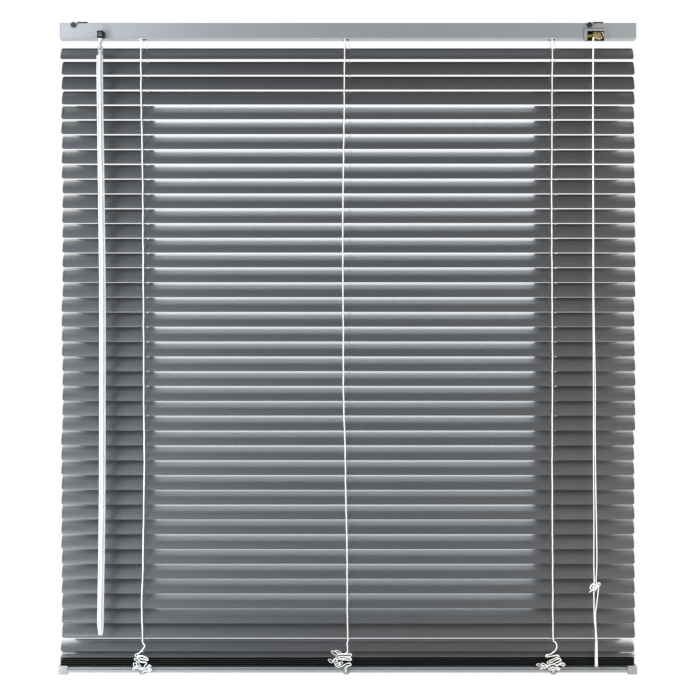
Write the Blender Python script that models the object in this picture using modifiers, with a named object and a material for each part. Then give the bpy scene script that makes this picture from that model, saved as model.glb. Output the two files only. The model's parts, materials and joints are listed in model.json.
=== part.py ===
"""A 25 mm aluminium mini-blind, 800 mm wide, lowered, with its slats tilted front edge down.

Metres, +Z up, +X to the right, and the room side faces -Y. The origin is the middle of the
plane in which both brackets meet the lintel, so everything hangs below z = 0.
Run it with blender --background --python part.py or from Blender's text editor.
"""

import math

import bmesh
import bpy
from mathutils import Euler, Matrix, Vector

# ---------------------------------------------------------------- driving dimensions, metres
GAP = 0.0003  # between pieces that touch

# headrail: a U of folded sheet, open at the top, with two inward lips
HEADRAIL_LENGTH = 0.800  # over its end caps
HEADRAIL_DEPTH = 0.025
HEADRAIL_HEIGHT = 0.021
HEADRAIL_WALL = 0.0006
HEADRAIL_LIP = 0.003
HEADRAIL_CORNER = 0.0018
LADDER_SLOT_HALF = 0.0065
LADDER_SLOT_Y = (-0.0100, 0.0105)
CUT_MARGIN = 0.001  # how far a cutter stands beyond the surface it opens
NOSE_CLEARANCE = 0.0005
NOSE_NOTCH_DEPTH = 0.0033
END_CAP = 0.002  # plate of a headrail end cap
END_PLUG = 0.010  # its plug inside the channel
PLUG_SIDE_PLAY = 0.0010
PLUG_HEIGHT_PLAY = (0.0007, 0.0005)  # below and above the plug

# brackets
BRACKET_PLATE = 0.0010
BRACKET_WIDTH = 0.024
BRACKET_LIP = 0.0030
BRACKET_KNOB_R = 0.0039
BRACKET_KNOB_X = {"left": -0.379, "right": 0.334}
BRACKET_KNOB_LENGTH = 0.0042
BRACKET_KNOB_REACH = 0.0015  # from the lip's face to the middle of the knob
BRACKET_KNOB_INSET = 0.005  # from the bracket's left edge to the knob
BRACKET_LIP_PLAY = 0.0001
BRACKET_SCREW_R = 0.0021
BRACKET_SCREW_OFFSETS = (0.001, 0.013)  # from the knob, along X
BRACKET_SCREW_Y = 0.003

# ladders, tilt rod and its drums
LADDER_X = {"left": -0.284, "middle": -0.002, "right": 0.284}
ROD_R = 0.0025
ROD_ENDS = (-0.350, 0.300)
DRUM_R = 0.008
DRUM_GROOVE_R = 0.0064
DRUM_LENGTH = 0.014
DRUM_FLANGE = 0.0014
DRUM_SLOPE = 0.0007  # along X, from the flange down to the groove
CORD_R = 0.0007
CORD_PLAY = 0.0004  # between a ladder cord and the slat edges
LADDER_FRONT_LEAD = 0.012  # the front cord's length above the edge of slat 2

# slats
SLAT_COUNT = 41  # those that hang in the ladders
SLAT_LENGTH = 0.7945
SLAT_WIDTH = 0.025
SLAT_THICKNESS = 0.0003
SLAT_CROWN = 0.0028
SLAT_CORNER = 0.003
SLAT_STRIPS = 4  # flat strips across a slat
SLAT_PITCH = 0.02054
SLAT_TILT = 54.5  # degrees, front edge down
TOP_SLAT_TILT = 45.0
BOTTOM_SLAT_TILT = 35.0
FIRST_SLAT_Z = -0.0402
ROUTE_NOTCH = (0.0030, 0.0016)  # along and into the rear edge, one beside each ladder
ROUTE_NOTCH_OFFSET = 0.0045  # from the ladder to the middle of its notch

# slats that lie stacked on the bottom rail
STACK_COUNT = 5
STACK_TOP_Z = -0.8750
STACK_FIRST_STEP = 0.0040
STACK_PITCH = 0.0029
STACK_CORD_Y = -0.0030
STACK_CORD_R = 0.0011
STACK_CORD_ENDS = (0.0010, 0.0008)  # above the top slat's middle and below the bottom one's

# bottom rail
RAIL_TOP_Z = -0.8921
RAIL_HEIGHT = 0.0076
RAIL_DEPTH = 0.025
RAIL_WALL = 0.0009
RAIL_CORNER = 0.0026
RAIL_CAP_LENGTH = 0.013
RAIL_CAP_HEIGHT = 0.0123
RAIL_CAP_DEPTH = 0.0266
RAIL_CAP_END = 0.002
RAIL_CAP_CORNER = 0.0030
BUTTON_HOLE_R = 0.0032
BUTTON_HOLE_DEPTH = 0.002

# tilter and wand
WAND_X = -0.341
WAND_Y = -0.0195
TILTER_HALF = 0.011
TILTER_Y = (-0.0110, 0.0095)
TILTER_TOP_DROP = 0.0022  # below the headrail's top
TILTER_BORE_PLAY = 0.0008
TILTER_ROUND = 0.0006
NOSE_HALF = 0.0044
NOSE_REACH = 0.0040  # in front of the wand's axis
NOSE_ROOT_Y = -0.0097
NOSE_TOP_DROP = 0.0124
NOSE_BOTTOM_DROP = 0.0012  # below the headrail's underside
HOOK_COLLAR_R = 0.0025
HOOK_COLLAR_LENGTH = 0.0026
HOOK_WIRE_R = 0.0011
HOOK_WIRE_ENTRY = 0.0015  # how far the wire runs up into the collar
HOOK_SHANK = 0.0050  # the straight wire ends this far above the loop's centre
HOOK_START, HOOK_STEP, HOOK_STEPS = 55, 20, 15  # degrees round the loop
HOOK_LOOP_R = 0.0034
HOOK_LOOP_Z = -0.0335
EYE_MAJOR_R = 0.0028
EYE_MINOR_R = 0.0011
WAND_R = 0.0048
WAND_TOP_Z = -0.0470
WAND_END_Z = -0.8457
WAND_TAPER = 0.012
WAND_FOOT_R = 0.0019
FERRULE_R = (0.0022, 0.0031)  # at the eye and where the rod begins
FERRULE_STEP = 0.0012

# cord lock, pull cord and tassel
LOCK_X = (0.3265, 0.3565)
LOCK_FRONT, LOCK_REAR = -0.0150, -0.0030
LOCK_TOP, LOCK_BOTTOM = -0.0092, -0.0253
LOCK_OPENING_X = (0.3306, 0.3540)
LOCK_OPENING_REAR = -0.0045
LOCK_LINTEL = 0.0033  # frame above the opening
LOCK_HOUSING_Y = (-0.0110, 0.0085)
LOCK_HOUSING_INSET = 0.0007
LOCK_HOUSING_DROP = 0.0037  # below the headrail's top
ROLLER_X = (0.3387, 0.3498)
ROLLER_R = 0.0042
ROLLER_EDGE = 0.0005
ROLLER_CENTRE = (-0.0100, -0.0178)  # y, z
AXLE_R = 0.0011
AXLE_REACH = 0.0012  # into each side of the frame
AXLE_HOLE_R = 0.0015
AXLE_END_PLAY = 0.00045
PULL_CORD_R = 0.0010
TASSEL_R = 0.0022
TASSEL_SHOULDERS = (0.0008, 0.0003)  # how much slimmer the top face and the neck are
TASSEL_NECK = 0.002
TASSEL_ROUND = (0.0006, 0.001)  # at the foot, across and along
TASSEL_TOP_Z = -0.8490
TASSEL_END_Z = -0.8905

# worked out from the above
HEADRAIL_TOP = -BRACKET_PLATE - GAP
HEADRAIL_BOTTOM = HEADRAIL_TOP - HEADRAIL_HEIGHT
ROD_Z = HEADRAIL_TOP - HEADRAIL_HEIGHT / 2
SLAT_HALF = SLAT_WIDTH / 2
RAIL_Z = RAIL_TOP_Z - RAIL_HEIGHT / 2
NOSE_TOP = HEADRAIL_TOP - NOSE_TOP_DROP
NOSE_BOTTOM = HEADRAIL_BOTTOM - NOSE_BOTTOM_DROP

# middle line of the pull cord's route, x and z, which hangs in one plane
PULL_CORD_Y = -0.0160
PULL_CORD_ROUTE = (
    (0.3395, -0.0190),
    (0.3394, -0.0600),
    (0.3393, -0.1600),
    (0.3392, -0.2800),
    (0.3394, -0.4000),
    (0.3402, -0.5200),
    (0.3410, -0.6400),
    (0.3415, -0.7800),
    (0.3424, -0.8200),
    (0.3429, TASSEL_TOP_Z + GAP),
)
PULL_CORD_STEP = 0.0135


# ---------------------------------------------------------------- scene, materials, collections
def clear_scene():
    for obj in list(bpy.data.objects):
        bpy.data.objects.remove(obj, do_unlink=True)


def new_collection(name):
    group = bpy.data.collections.new(name)
    bpy.context.scene.collection.children.link(group)
    return group


def new_material(name, colour, roughness, metallic=0.0, transmission=0.0):
    material = bpy.data.materials.new(name)
    material.use_nodes = True
    shader = material.node_tree.nodes["Principled BSDF"]
    shader.inputs["Base Color"].default_value = (*colour, 1.0)
    shader.inputs["Roughness"].default_value = roughness
    shader.inputs["Metallic"].default_value = metallic
    shader.inputs["Transmission Weight"].default_value = transmission
    return material


def add_object(name, data, group, material=None):
    obj = bpy.data.objects.new(name, data)
    group.objects.link(obj)
    if material is not None:
        data.materials.clear()
        data.materials.append(material)
    return obj


# ---------------------------------------------------------------- shapes
def mesh_from(bm, name):
    mesh = bpy.data.meshes.new(name)
    bm.normal_update()
    bm.to_mesh(mesh)
    bm.free()
    return mesh


def add_box(bm, low, high):
    """A box between two corners, added to bm."""
    low, high = Vector(low), Vector(high)
    size = Matrix.Diagonal((high - low).to_4d())
    size[3][3] = 1.0
    bmesh.ops.create_cube(bm, size=1.0, matrix=Matrix.Translation((low + high) / 2) @ size)


def box_mesh(name, *corners):
    """One mesh of separate boxes, each given by two corners."""
    bm = bmesh.new()
    for low, high in corners:
        add_box(bm, low, high)
    return mesh_from(bm, name)


def cylinder_mesh(name, centres, axis, radius, length, segments=16):
    """One mesh of separate cylinders with the same axis and size."""
    bm = bmesh.new()
    turn = Vector(axis).to_track_quat("Z", "Y").to_matrix().to_4x4()
    for centre in centres:
        bmesh.ops.create_cone(
            bm,
            cap_ends=True,
            segments=segments,
            radius1=radius,
            radius2=radius,
            depth=length,
            matrix=Matrix.Translation(centre) @ turn,
        )
    return mesh_from(bm, name)


def finished_mesh(obj):
    """The object's mesh with its modifiers in it; the object is removed."""
    bpy.context.view_layer.update()
    evaluated = obj.evaluated_get(bpy.context.evaluated_depsgraph_get())
    mesh = bpy.data.meshes.new_from_object(evaluated)
    mesh.transform(obj.matrix_world)
    bpy.data.objects.remove(obj, do_unlink=True)
    bm = bmesh.new()
    bm.from_mesh(mesh)
    bmesh.ops.remove_doubles(bm, verts=bm.verts, dist=1e-6)
    bm.to_mesh(mesh)
    bm.free()
    return mesh


def turned_mesh(name, profile, axis, steps):
    """A solid of revolution about axis: profile is (radius, height), top to bottom, ends on the axis."""
    bm = bmesh.new()
    verts = [bm.verts.new((radius, 0.0, height)) for radius, height in profile]
    for first, second in zip(verts, verts[1:]):
        bm.edges.new((first, second))
    obj = add_object(name, mesh_from(bm, name), workshop)
    screw = obj.modifiers.new("turn", "SCREW")
    screw.steps = screw.render_steps = steps
    screw.use_merge_vertices = True
    screw.merge_threshold = 0.00001
    screw.use_smooth_shade = False
    obj.rotation_mode = "QUATERNION"
    obj.rotation_quaternion = Vector(axis).to_track_quat("Z", "Y")
    return finished_mesh(obj)


def tube_mesh(name, points, radius, resolution=2):
    """A round wire along points, with closed ends."""
    curve = bpy.data.curves.new(name, "CURVE")
    curve.dimensions = "3D"
    curve.bevel_depth = radius
    curve.bevel_resolution = resolution
    curve.use_fill_caps = True
    spline = curve.splines.new("POLY")
    spline.points.add(len(points) - 1)
    for point, place in zip(spline.points, points):
        point.co = (*place, 1.0)
    return finished_mesh(add_object(name, curve, workshop))


def round_rectangle(depth, height, corner, steps=4):
    """Outline of a rectangle with round corners about the origin, as a list of points."""
    points = []
    for quarter in range(4):
        start = quarter * math.pi / 2
        side_x = 1 if quarter in (0, 3) else -1
        side_y = 1 if quarter in (0, 1) else -1
        centre = Vector((side_x * (depth / 2 - corner), side_y * (height / 2 - corner)))
        for step in range(steps + 1):
            angle = start + step / steps * math.pi / 2
            points.append(centre + corner * Vector((math.cos(angle), math.sin(angle))))
    return points


def bar_mesh(name, outlines, x_low, x_high, z):
    """Outlines in the YZ plane, the later ones as hollows, extruded between two x values."""
    curve = bpy.data.curves.new(name, "CURVE")
    curve.dimensions = "2D"
    curve.fill_mode = "BOTH"
    curve.extrude = (x_high - x_low) / 2
    for outline in outlines:
        spline = curve.splines.new("POLY")
        spline.use_cyclic_u = True
        spline.points.add(len(outline) - 1)
        for point, place in zip(spline.points, outline):
            point.co = (place[0], place[1], 0.0, 1.0)
    obj = add_object(name, curve, workshop)
    obj.location = ((x_low + x_high) / 2, 0.0, z)
    obj.rotation_euler = Euler((math.pi / 2, 0.0, math.pi / 2))
    return finished_mesh(obj)


def combine(obj, operation, *meshes):
    """Join the meshes to obj, or cut them out of it, with exact Booleans."""
    for mesh in meshes:
        tool = add_object(mesh.name, mesh, cutters)
        tool.hide_render = True
        tool.display_type = "WIRE"
        boolean = obj.modifiers.new(mesh.name, "BOOLEAN")
        boolean.operation = operation
        boolean.object = tool
    return obj


def place_at(obj, pivot):
    """Move the object's origin to pivot and leave its surface where it is."""
    obj.data.transform(Matrix.Translation(-Vector(pivot)))
    obj.location = pivot


def rounded(obj, width, segments=2):
    bevel = obj.modifiers.new("round edges", "BEVEL")
    bevel.width = width
    bevel.segments = segments
    bevel.limit_method = "ANGLE"


# ---------------------------------------------------------------- headrail and its fixings
def headrail_outline():
    """Outside of the folded sheet from the front lip to the rear lip, as y and z."""
    half, corner = HEADRAIL_DEPTH / 2, HEADRAIL_CORNER
    front = [(-half + HEADRAIL_LIP, HEADRAIL_TOP), (-half, HEADRAIL_TOP)]
    for step in range(4):
        angle = math.pi + step / 3 * math.pi / 2
        y = -half + corner + corner * math.cos(angle)
        z = HEADRAIL_BOTTOM + corner + corner * math.sin(angle)
        front.append((y, z))
    return front + [(-y, z) for y, z in reversed(front)]


def make_headrail():
    half_length = HEADRAIL_LENGTH / 2 - END_CAP - GAP
    bm = bmesh.new()
    verts = [bm.verts.new((-half_length, y, z)) for y, z in headrail_outline()]
    edges = [bm.edges.new(pair) for pair in zip(verts, verts[1:])]
    swept = bmesh.ops.extrude_edge_only(bm, edges=edges)["geom"]
    moved = [item for item in swept if isinstance(item, bmesh.types.BMVert)]
    bmesh.ops.translate(bm, verts=moved, vec=(2 * half_length, 0, 0))
    headrail = add_object("headrail", mesh_from(bm, "headrail"), parts, SILVER)
    wall = headrail.modifiers.new("sheet", "SOLIDIFY")
    wall.thickness = HEADRAIL_WALL
    wall.offset = 1.0
    wall.use_even_offset = True
    front = -HEADRAIL_DEPTH / 2
    below, above = HEADRAIL_BOTTOM - 2 * CUT_MARGIN, HEADRAIL_BOTTOM + 2 * CUT_MARGIN
    slot_front, slot_rear = LADDER_SLOT_Y
    slots = box_mesh(
        "ladder_slots",
        *(
            ((x - LADDER_SLOT_HALF, slot_front, below), (x + LADDER_SLOT_HALF, slot_rear, above))
            for x in LADDER_X.values()
        ),
    )
    nose_room = NOSE_HALF + NOSE_CLEARANCE
    notches = box_mesh(
        "front_notches",
        (
            (WAND_X - nose_room, front - CUT_MARGIN, below),
            (WAND_X + nose_room, front + NOSE_NOTCH_DEPTH, NOSE_TOP + NOSE_CLEARANCE),
        ),
        (
            (LOCK_X[0] - GAP, front - CUT_MARGIN, below),
            (LOCK_X[1] + GAP, LOCK_REAR + GAP, LOCK_TOP + GAP),
        ),
    )
    return combine(headrail, "DIFFERENCE", slots, notches)


def make_headrail_cap(side, sign):
    """An end plate with a plug that stands inside the channel."""
    face = HEADRAIL_LENGTH / 2
    plate = sorted((sign * face, sign * (face - END_CAP)))
    plug = sorted((sign * (face - END_CAP / 2), sign * (face - END_CAP - END_PLUG)))
    half = HEADRAIL_DEPTH / 2
    inner = HEADRAIL_WALL + GAP
    low_z, high_z = HEADRAIL_BOTTOM - GAP, HEADRAIL_TOP + GAP
    mesh = box_mesh(
        f"headrail_cap_{side}", ((plate[0], -half - GAP, low_z), (plate[1], half + GAP, high_z))
    )
    cap = add_object(f"headrail_cap_{side}", mesh, parts, LIGHT_PLASTIC)
    plug_half = half - inner - PLUG_SIDE_PLAY
    below, above = PLUG_HEIGHT_PLAY
    plug_mesh = box_mesh(
        f"cap_plug_{side}",
        (
            (plug[0], -plug_half, HEADRAIL_BOTTOM + inner + below),
            (plug[1], plug_half, HEADRAIL_TOP - inner - above),
        ),
    )
    return combine(cap, "UNION", plug_mesh)


def make_bracket(side):
    """A plate over the headrail with a lip in front and behind, two screw holes and a round knob."""
    knob_x = BRACKET_KNOB_X[side]
    x_low = knob_x - BRACKET_KNOB_INSET
    x_high = x_low + BRACKET_WIDTH
    inner = HEADRAIL_DEPTH / 2 + GAP + BRACKET_LIP_PLAY
    outer = inner + BRACKET_PLATE
    plate = box_mesh(
        f"bracket_{side}", ((x_low, -outer, -BRACKET_PLATE), (x_high, outer, 0.0))
    )
    bracket = add_object(f"bracket_{side}", plate, parts, DARK_STEEL)
    lips = box_mesh(
        f"bracket_lips_{side}",
        ((x_low, -outer, -BRACKET_LIP - BRACKET_PLATE), (x_high, -inner, -BRACKET_PLATE / 2)),
        ((x_low, inner, -BRACKET_LIP - BRACKET_PLATE), (x_high, outer, -BRACKET_PLATE / 2)),
    )
    knob_z = -GAP - BRACKET_KNOB_R
    knob = cylinder_mesh(
        f"bracket_knob_{side}",
        [(knob_x, -outer - BRACKET_KNOB_REACH, knob_z)],
        (0, 1, 0),
        BRACKET_KNOB_R,
        BRACKET_KNOB_LENGTH,
        20,
    )
    holes = cylinder_mesh(
        f"bracket_holes_{side}",
        [(knob_x + offset, BRACKET_SCREW_Y, 0.0) for offset in BRACKET_SCREW_OFFSETS],
        (0, 0, 1),
        BRACKET_SCREW_R,
        4 * BRACKET_PLATE,
        12,
    )
    combine(bracket, "UNION", lips, knob)
    return combine(bracket, "DIFFERENCE", holes)


# ---------------------------------------------------------------- tilt rod, tilter and wand
def make_tilt_rod():
    """The rod and its three ladder drums, turned in one."""
    profile = [(0.0, ROD_ENDS[1]), (ROD_R, ROD_ENDS[1])]
    for x in sorted(LADDER_X.values(), reverse=True):
        half, groove = DRUM_LENGTH / 2, DRUM_LENGTH / 2 - DRUM_FLANGE - DRUM_SLOPE
        profile += [
            (ROD_R, x + half),
            (DRUM_R, x + half),
            (DRUM_R, x + half - DRUM_FLANGE),
            (DRUM_GROOVE_R, x + groove),
            (DRUM_GROOVE_R, x - groove),
            (DRUM_R, x - half + DRUM_FLANGE),
            (DRUM_R, x - half),
            (ROD_R, x - half),
        ]
    profile += [(ROD_R, ROD_ENDS[0]), (0.0, ROD_ENDS[0])]
    mesh = turned_mesh("tilt_rod", profile, (1, 0, 0), 12)
    rod = add_object("tilt_rod", mesh, parts, STEEL)
    rod.location = (0.0, 0.0, ROD_Z)
    return rod


def make_tilter():
    """Gear housing inside the headrail, with a nose through the front notch."""
    block = box_mesh(
        "tilter",
        (
            (WAND_X - TILTER_HALF, TILTER_Y[0], HEADRAIL_BOTTOM + HEADRAIL_WALL + GAP),
            (WAND_X + TILTER_HALF, TILTER_Y[1], HEADRAIL_TOP - TILTER_TOP_DROP),
        ),
    )
    tilter = add_object("tilter", block, parts, BLACK_PLASTIC)
    nose = box_mesh(
        "tilter_nose",
        (
            (WAND_X - NOSE_HALF, WAND_Y - NOSE_REACH, NOSE_BOTTOM),
            (WAND_X + NOSE_HALF, NOSE_ROOT_Y, NOSE_TOP),
        ),
    )
    bore_r, bore_length = ROD_R + TILTER_BORE_PLAY, 4 * TILTER_HALF
    bore = cylinder_mesh(
        "tilter_bore", [(WAND_X, 0.0, ROD_Z)], (1, 0, 0), bore_r, bore_length, 12
    )
    combine(tilter, "UNION", nose)
    combine(tilter, "DIFFERENCE", bore)
    rounded(tilter, TILTER_ROUND, 1)
    return tilter


def make_wand_hook():
    """A round collar under the nose and an open wire loop, centred on the turning axis."""
    top = NOSE_BOTTOM - GAP
    middle = (WAND_X, WAND_Y, top - HOOK_COLLAR_LENGTH / 2)
    collar = cylinder_mesh(
        "wand_hook", [middle], (0, 0, 1), HOOK_COLLAR_R, HOOK_COLLAR_LENGTH, 16
    )
    hook = add_object("wand_hook", collar, parts, CLEAR_PLASTIC)
    route = [(WAND_X, WAND_Y, top - HOOK_WIRE_ENTRY), (WAND_X, WAND_Y, HOOK_LOOP_Z + HOOK_SHANK)]
    for step in range(HOOK_STEPS):
        angle = math.radians(HOOK_START - HOOK_STEP * step)
        y = WAND_Y + HOOK_LOOP_R * math.cos(angle)
        z = HOOK_LOOP_Z + HOOK_LOOP_R * math.sin(angle)
        route.append((WAND_X, y, z))
    combine(hook, "UNION", tube_mesh("hook_wire", route, HOOK_WIRE_R, 1))
    return hook


def ring_mesh(name, centre, major_radius, minor_radius, segments, sides):
    """A ring about the Y axis through centre: a small circle, spun."""
    bm = bmesh.new()
    bmesh.ops.create_circle(
        bm,
        segments=sides,
        radius=minor_radius,
        matrix=Matrix.Translation((major_radius, 0.0, 0.0)),
    )
    bmesh.ops.spin(
        bm,
        geom=bm.verts[:] + bm.edges[:],
        cent=(0, 0, 0),
        axis=(0, 1, 0),
        angle=2 * math.pi,
        steps=segments,
    )
    bmesh.ops.remove_doubles(bm, verts=bm.verts, dist=1e-6)
    bmesh.ops.recalc_face_normals(bm, faces=bm.faces)
    bmesh.ops.translate(bm, verts=bm.verts, vec=centre)
    return mesh_from(bm, name)


def make_wand():
    """A hexagonal rod with a tapered foot, a ferrule, and an eye that hangs in the hook."""
    eye_z = HOOK_LOOP_Z - HOOK_LOOP_R - GAP
    profile = [
        (0.0, eye_z - EYE_MAJOR_R),
        (FERRULE_R[0], eye_z - EYE_MAJOR_R),
        (FERRULE_R[1], WAND_TOP_Z + FERRULE_STEP),
        (WAND_R, WAND_TOP_Z),
        (WAND_R, WAND_END_Z + WAND_TAPER),
        (WAND_FOOT_R, WAND_END_Z),
        (0.0, WAND_END_Z),
    ]
    wand = add_object("wand", turned_mesh("wand", profile, (0, 0, 1), 6), parts, CLEAR_PLASTIC)
    wand.data.transform(Matrix.Translation((WAND_X, WAND_Y, 0.0)))
    eye = ring_mesh("wand_eye", (WAND_X, WAND_Y, eye_z), EYE_MAJOR_R, EYE_MINOR_R, 16, 8)
    combine(wand, "UNION", eye)
    place_at(wand, (WAND_X, WAND_Y, HOOK_LOOP_Z - HOOK_LOOP_R))
    return wand


# ---------------------------------------------------------------- cord lock and pull cord
def make_cord_lock():
    """A housing in the channel with a frame that stands through the headrail, open front and below."""
    frame = box_mesh(
        "cord_lock", ((LOCK_X[0], LOCK_FRONT, LOCK_BOTTOM), (LOCK_X[1], LOCK_REAR, LOCK_TOP))
    )
    lock = add_object("cord_lock", frame, parts, CLEAR_PLASTIC)
    housing = box_mesh(
        "lock_housing",
        (
            (
                LOCK_X[0] + LOCK_HOUSING_INSET,
                LOCK_HOUSING_Y[0],
                HEADRAIL_BOTTOM + HEADRAIL_WALL + GAP,
            ),
            (
                LOCK_X[1] - LOCK_HOUSING_INSET,
                LOCK_HOUSING_Y[1],
                HEADRAIL_TOP - LOCK_HOUSING_DROP,
            ),
        ),
    )
    opening = box_mesh(
        "lock_opening",
        (
            (LOCK_OPENING_X[0], LOCK_FRONT - CUT_MARGIN, LOCK_BOTTOM - CUT_MARGIN),
            (LOCK_OPENING_X[1], LOCK_OPENING_REAR, LOCK_TOP - LOCK_LINTEL),
        ),
    )
    axle_length = LOCK_OPENING_X[1] - LOCK_OPENING_X[0] + 2 * (AXLE_REACH + AXLE_END_PLAY)
    axle = cylinder_mesh(
        "lock_axle_hole",
        [((LOCK_OPENING_X[0] + LOCK_OPENING_X[1]) / 2, *ROLLER_CENTRE)],
        (1, 0, 0),
        AXLE_HOLE_R,
        axle_length,
        12,
    )
    combine(lock, "UNION", housing)
    return combine(lock, "DIFFERENCE", opening, axle)


def make_lock_roller():
    """A barrel with an axle pin at each end, turned about X."""
    pin_low, pin_high = LOCK_OPENING_X[0] - AXLE_REACH, LOCK_OPENING_X[1] + AXLE_REACH
    profile = [
        (0.0, pin_high),
        (AXLE_R, pin_high),
        (AXLE_R, ROLLER_X[1]),
        (ROLLER_R - ROLLER_EDGE, ROLLER_X[1]),
        (ROLLER_R, ROLLER_X[1] - ROLLER_EDGE),
        (ROLLER_R, ROLLER_X[0] + ROLLER_EDGE),
        (ROLLER_R - ROLLER_EDGE, ROLLER_X[0]),
        (AXLE_R, ROLLER_X[0]),
        (AXLE_R, pin_low),
        (0.0, pin_low),
    ]
    mesh = turned_mesh("lock_roller", profile, (1, 0, 0), 16)
    roller = add_object("lock_roller", mesh, parts, BRASS)
    roller.location = (0.0, *ROLLER_CENTRE)
    return roller


def smooth_route(knots, step):
    """Points about step apart on the Catmull-Rom curve through the knots."""
    knots = [Vector(knot) for knot in knots]
    ends = [2 * knots[0] - knots[1]] + knots + [2 * knots[-1] - knots[-2]]
    points = []
    for a, b, c, d in zip(ends, ends[1:], ends[2:], ends[3:]):
        count = max(1, round((c - b).length / step))
        for index in range(count):
            t = index / count
            points.append(
                0.5
                * (
                    2 * b
                    + (c - a) * t
                    + (2 * a - 5 * b + 4 * c - d) * t * t
                    + (3 * b - a - 3 * c + d) * t * t * t
                )
            )
    return points + [knots[-1]]


def make_pull_cord():
    route = smooth_route([(x, PULL_CORD_Y, z) for x, z in PULL_CORD_ROUTE], PULL_CORD_STEP)
    mesh = tube_mesh("pull_cord", route, PULL_CORD_R)
    return add_object("pull_cord", mesh, parts, WHITE_CORD)


def make_cord_tassel():
    """A slim tube closed at both ends, in line with the pull cord."""
    face, neck = TASSEL_SHOULDERS
    across, along = TASSEL_ROUND
    profile = [
        (0.0, TASSEL_TOP_Z),
        (TASSEL_R - face, TASSEL_TOP_Z),
        (TASSEL_R - neck, TASSEL_TOP_Z - TASSEL_NECK),
        (TASSEL_R, TASSEL_END_Z + along),
        (TASSEL_R - across, TASSEL_END_Z),
        (0.0, TASSEL_END_Z),
    ]
    mesh = turned_mesh("cord_tassel", profile, (0, 0, 1), 16)
    tassel = add_object("cord_tassel", mesh, parts, WHITE_CORD)
    tassel.location = (PULL_CORD_ROUTE[-1][0], PULL_CORD_Y, 0.0)
    return tassel


# ---------------------------------------------------------------- slats
def slat_height(y):
    """Height of the crowned slat at y from its middle, measured from its centre of mass."""
    return SLAT_CROWN * (1 / 3 - (y / SLAT_HALF) ** 2)


def strip_height(y):
    """Height at y on the flat strips that the crowned slat is made of."""
    strip = SLAT_WIDTH / SLAT_STRIPS
    index = min(int((y + SLAT_HALF) / strip), SLAT_STRIPS - 1)
    low = index * strip - SLAT_HALF
    share = (y - low) / strip
    return (1 - share) * slat_height(low) + share * slat_height(low + strip)


def slat_mesh():
    """The one slat shape: a crowned strip with round corners and three notches for the lift cords."""
    bm = bmesh.new()
    size = Matrix.Diagonal((SLAT_LENGTH, SLAT_WIDTH, 1.0, 1.0))
    bmesh.ops.create_grid(bm, x_segments=1, y_segments=SLAT_STRIPS, size=0.5, matrix=size)
    half_length = SLAT_LENGTH / 2
    corners = [
        v
        for v in bm.verts
        if half_length - abs(v.co.x) < 1e-5 and SLAT_HALF - abs(v.co.y) < 1e-5
    ]
    bmesh.ops.bevel(
        bm,
        geom=corners,
        offset=SLAT_CORNER,
        offset_type="OFFSET",
        segments=2,
        profile=0.5,
        affect="VERTICES",
    )
    for v in bm.verts:
        v.co.z = strip_height(v.co.y)
    blank = add_object("slat_blank", mesh_from(bm, "slat_blank"), workshop)
    sheet = blank.modifiers.new("sheet", "SOLIDIFY")
    sheet.thickness = SLAT_THICKNESS
    sheet.offset = 0.0
    width, depth = ROUTE_NOTCH
    notches = box_mesh(
        "route_notches",
        *(
            ((x - width / 2, SLAT_HALF - depth, -0.01), (x + width / 2, SLAT_HALF + depth, 0.01))
            for x in (ladder_x + ROUTE_NOTCH_OFFSET for ladder_x in LADDER_X.values())
        ),
    )
    return finished_mesh(combine(blank, "DIFFERENCE", notches))


def slat_tilt(number):
    """Degrees that slat number hangs front edge down: the end slats of the row lie flatter."""
    return {1: TOP_SLAT_TILT, SLAT_COUNT: BOTTOM_SLAT_TILT}.get(number, SLAT_TILT)


def slat_z(number):
    return FIRST_SLAT_Z - SLAT_PITCH * (number - 1)


def make_slats(mesh):
    for number in range(1, SLAT_COUNT + 1):
        slat = add_object(f"slat_{number:02d}", mesh, parts)
        slat.location = (0.0, 0.0, slat_z(number))
        slat.rotation_euler = Euler((math.radians(slat_tilt(number)), 0.0, 0.0))


def make_slat_stack(mesh):
    """The flat slats on the bottom rail, held together by the three cords that run through them."""
    heights = [STACK_TOP_Z]
    for index in range(STACK_COUNT - 1):
        heights.append(STACK_TOP_Z - STACK_FIRST_STEP - index * STACK_PITCH)
    bm = bmesh.new()
    for height in heights:
        before = len(bm.verts)
        bm.from_mesh(mesh)
        bm.verts.ensure_lookup_table()
        bmesh.ops.translate(bm, verts=bm.verts[before:], vec=(0.0, 0.0, height))
    stack = add_object("slat_stack", mesh_from(bm, "slat_stack"), parts, SLAT_METAL)
    top, bottom = heights[0] + STACK_CORD_ENDS[0], heights[-1] - STACK_CORD_ENDS[1]
    ties = cylinder_mesh(
        "stack_cords",
        [(x, STACK_CORD_Y, (top + bottom) / 2) for x in LADDER_X.values()],
        (0, 0, 1),
        STACK_CORD_R,
        top - bottom,
        8,
    )
    return combine(stack, "UNION", ties)


# ---------------------------------------------------------------- ladder cords
def slat_edge(side):
    """Front (-1) or rear (+1) edge of a hanging slat, as y and z from its middle."""
    tilt = math.radians(SLAT_TILT)
    y, z = side * SLAT_HALF, slat_height(SLAT_HALF)
    return y * math.cos(tilt) - z * math.sin(tilt), y * math.sin(tilt) + z * math.cos(tilt)


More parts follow.
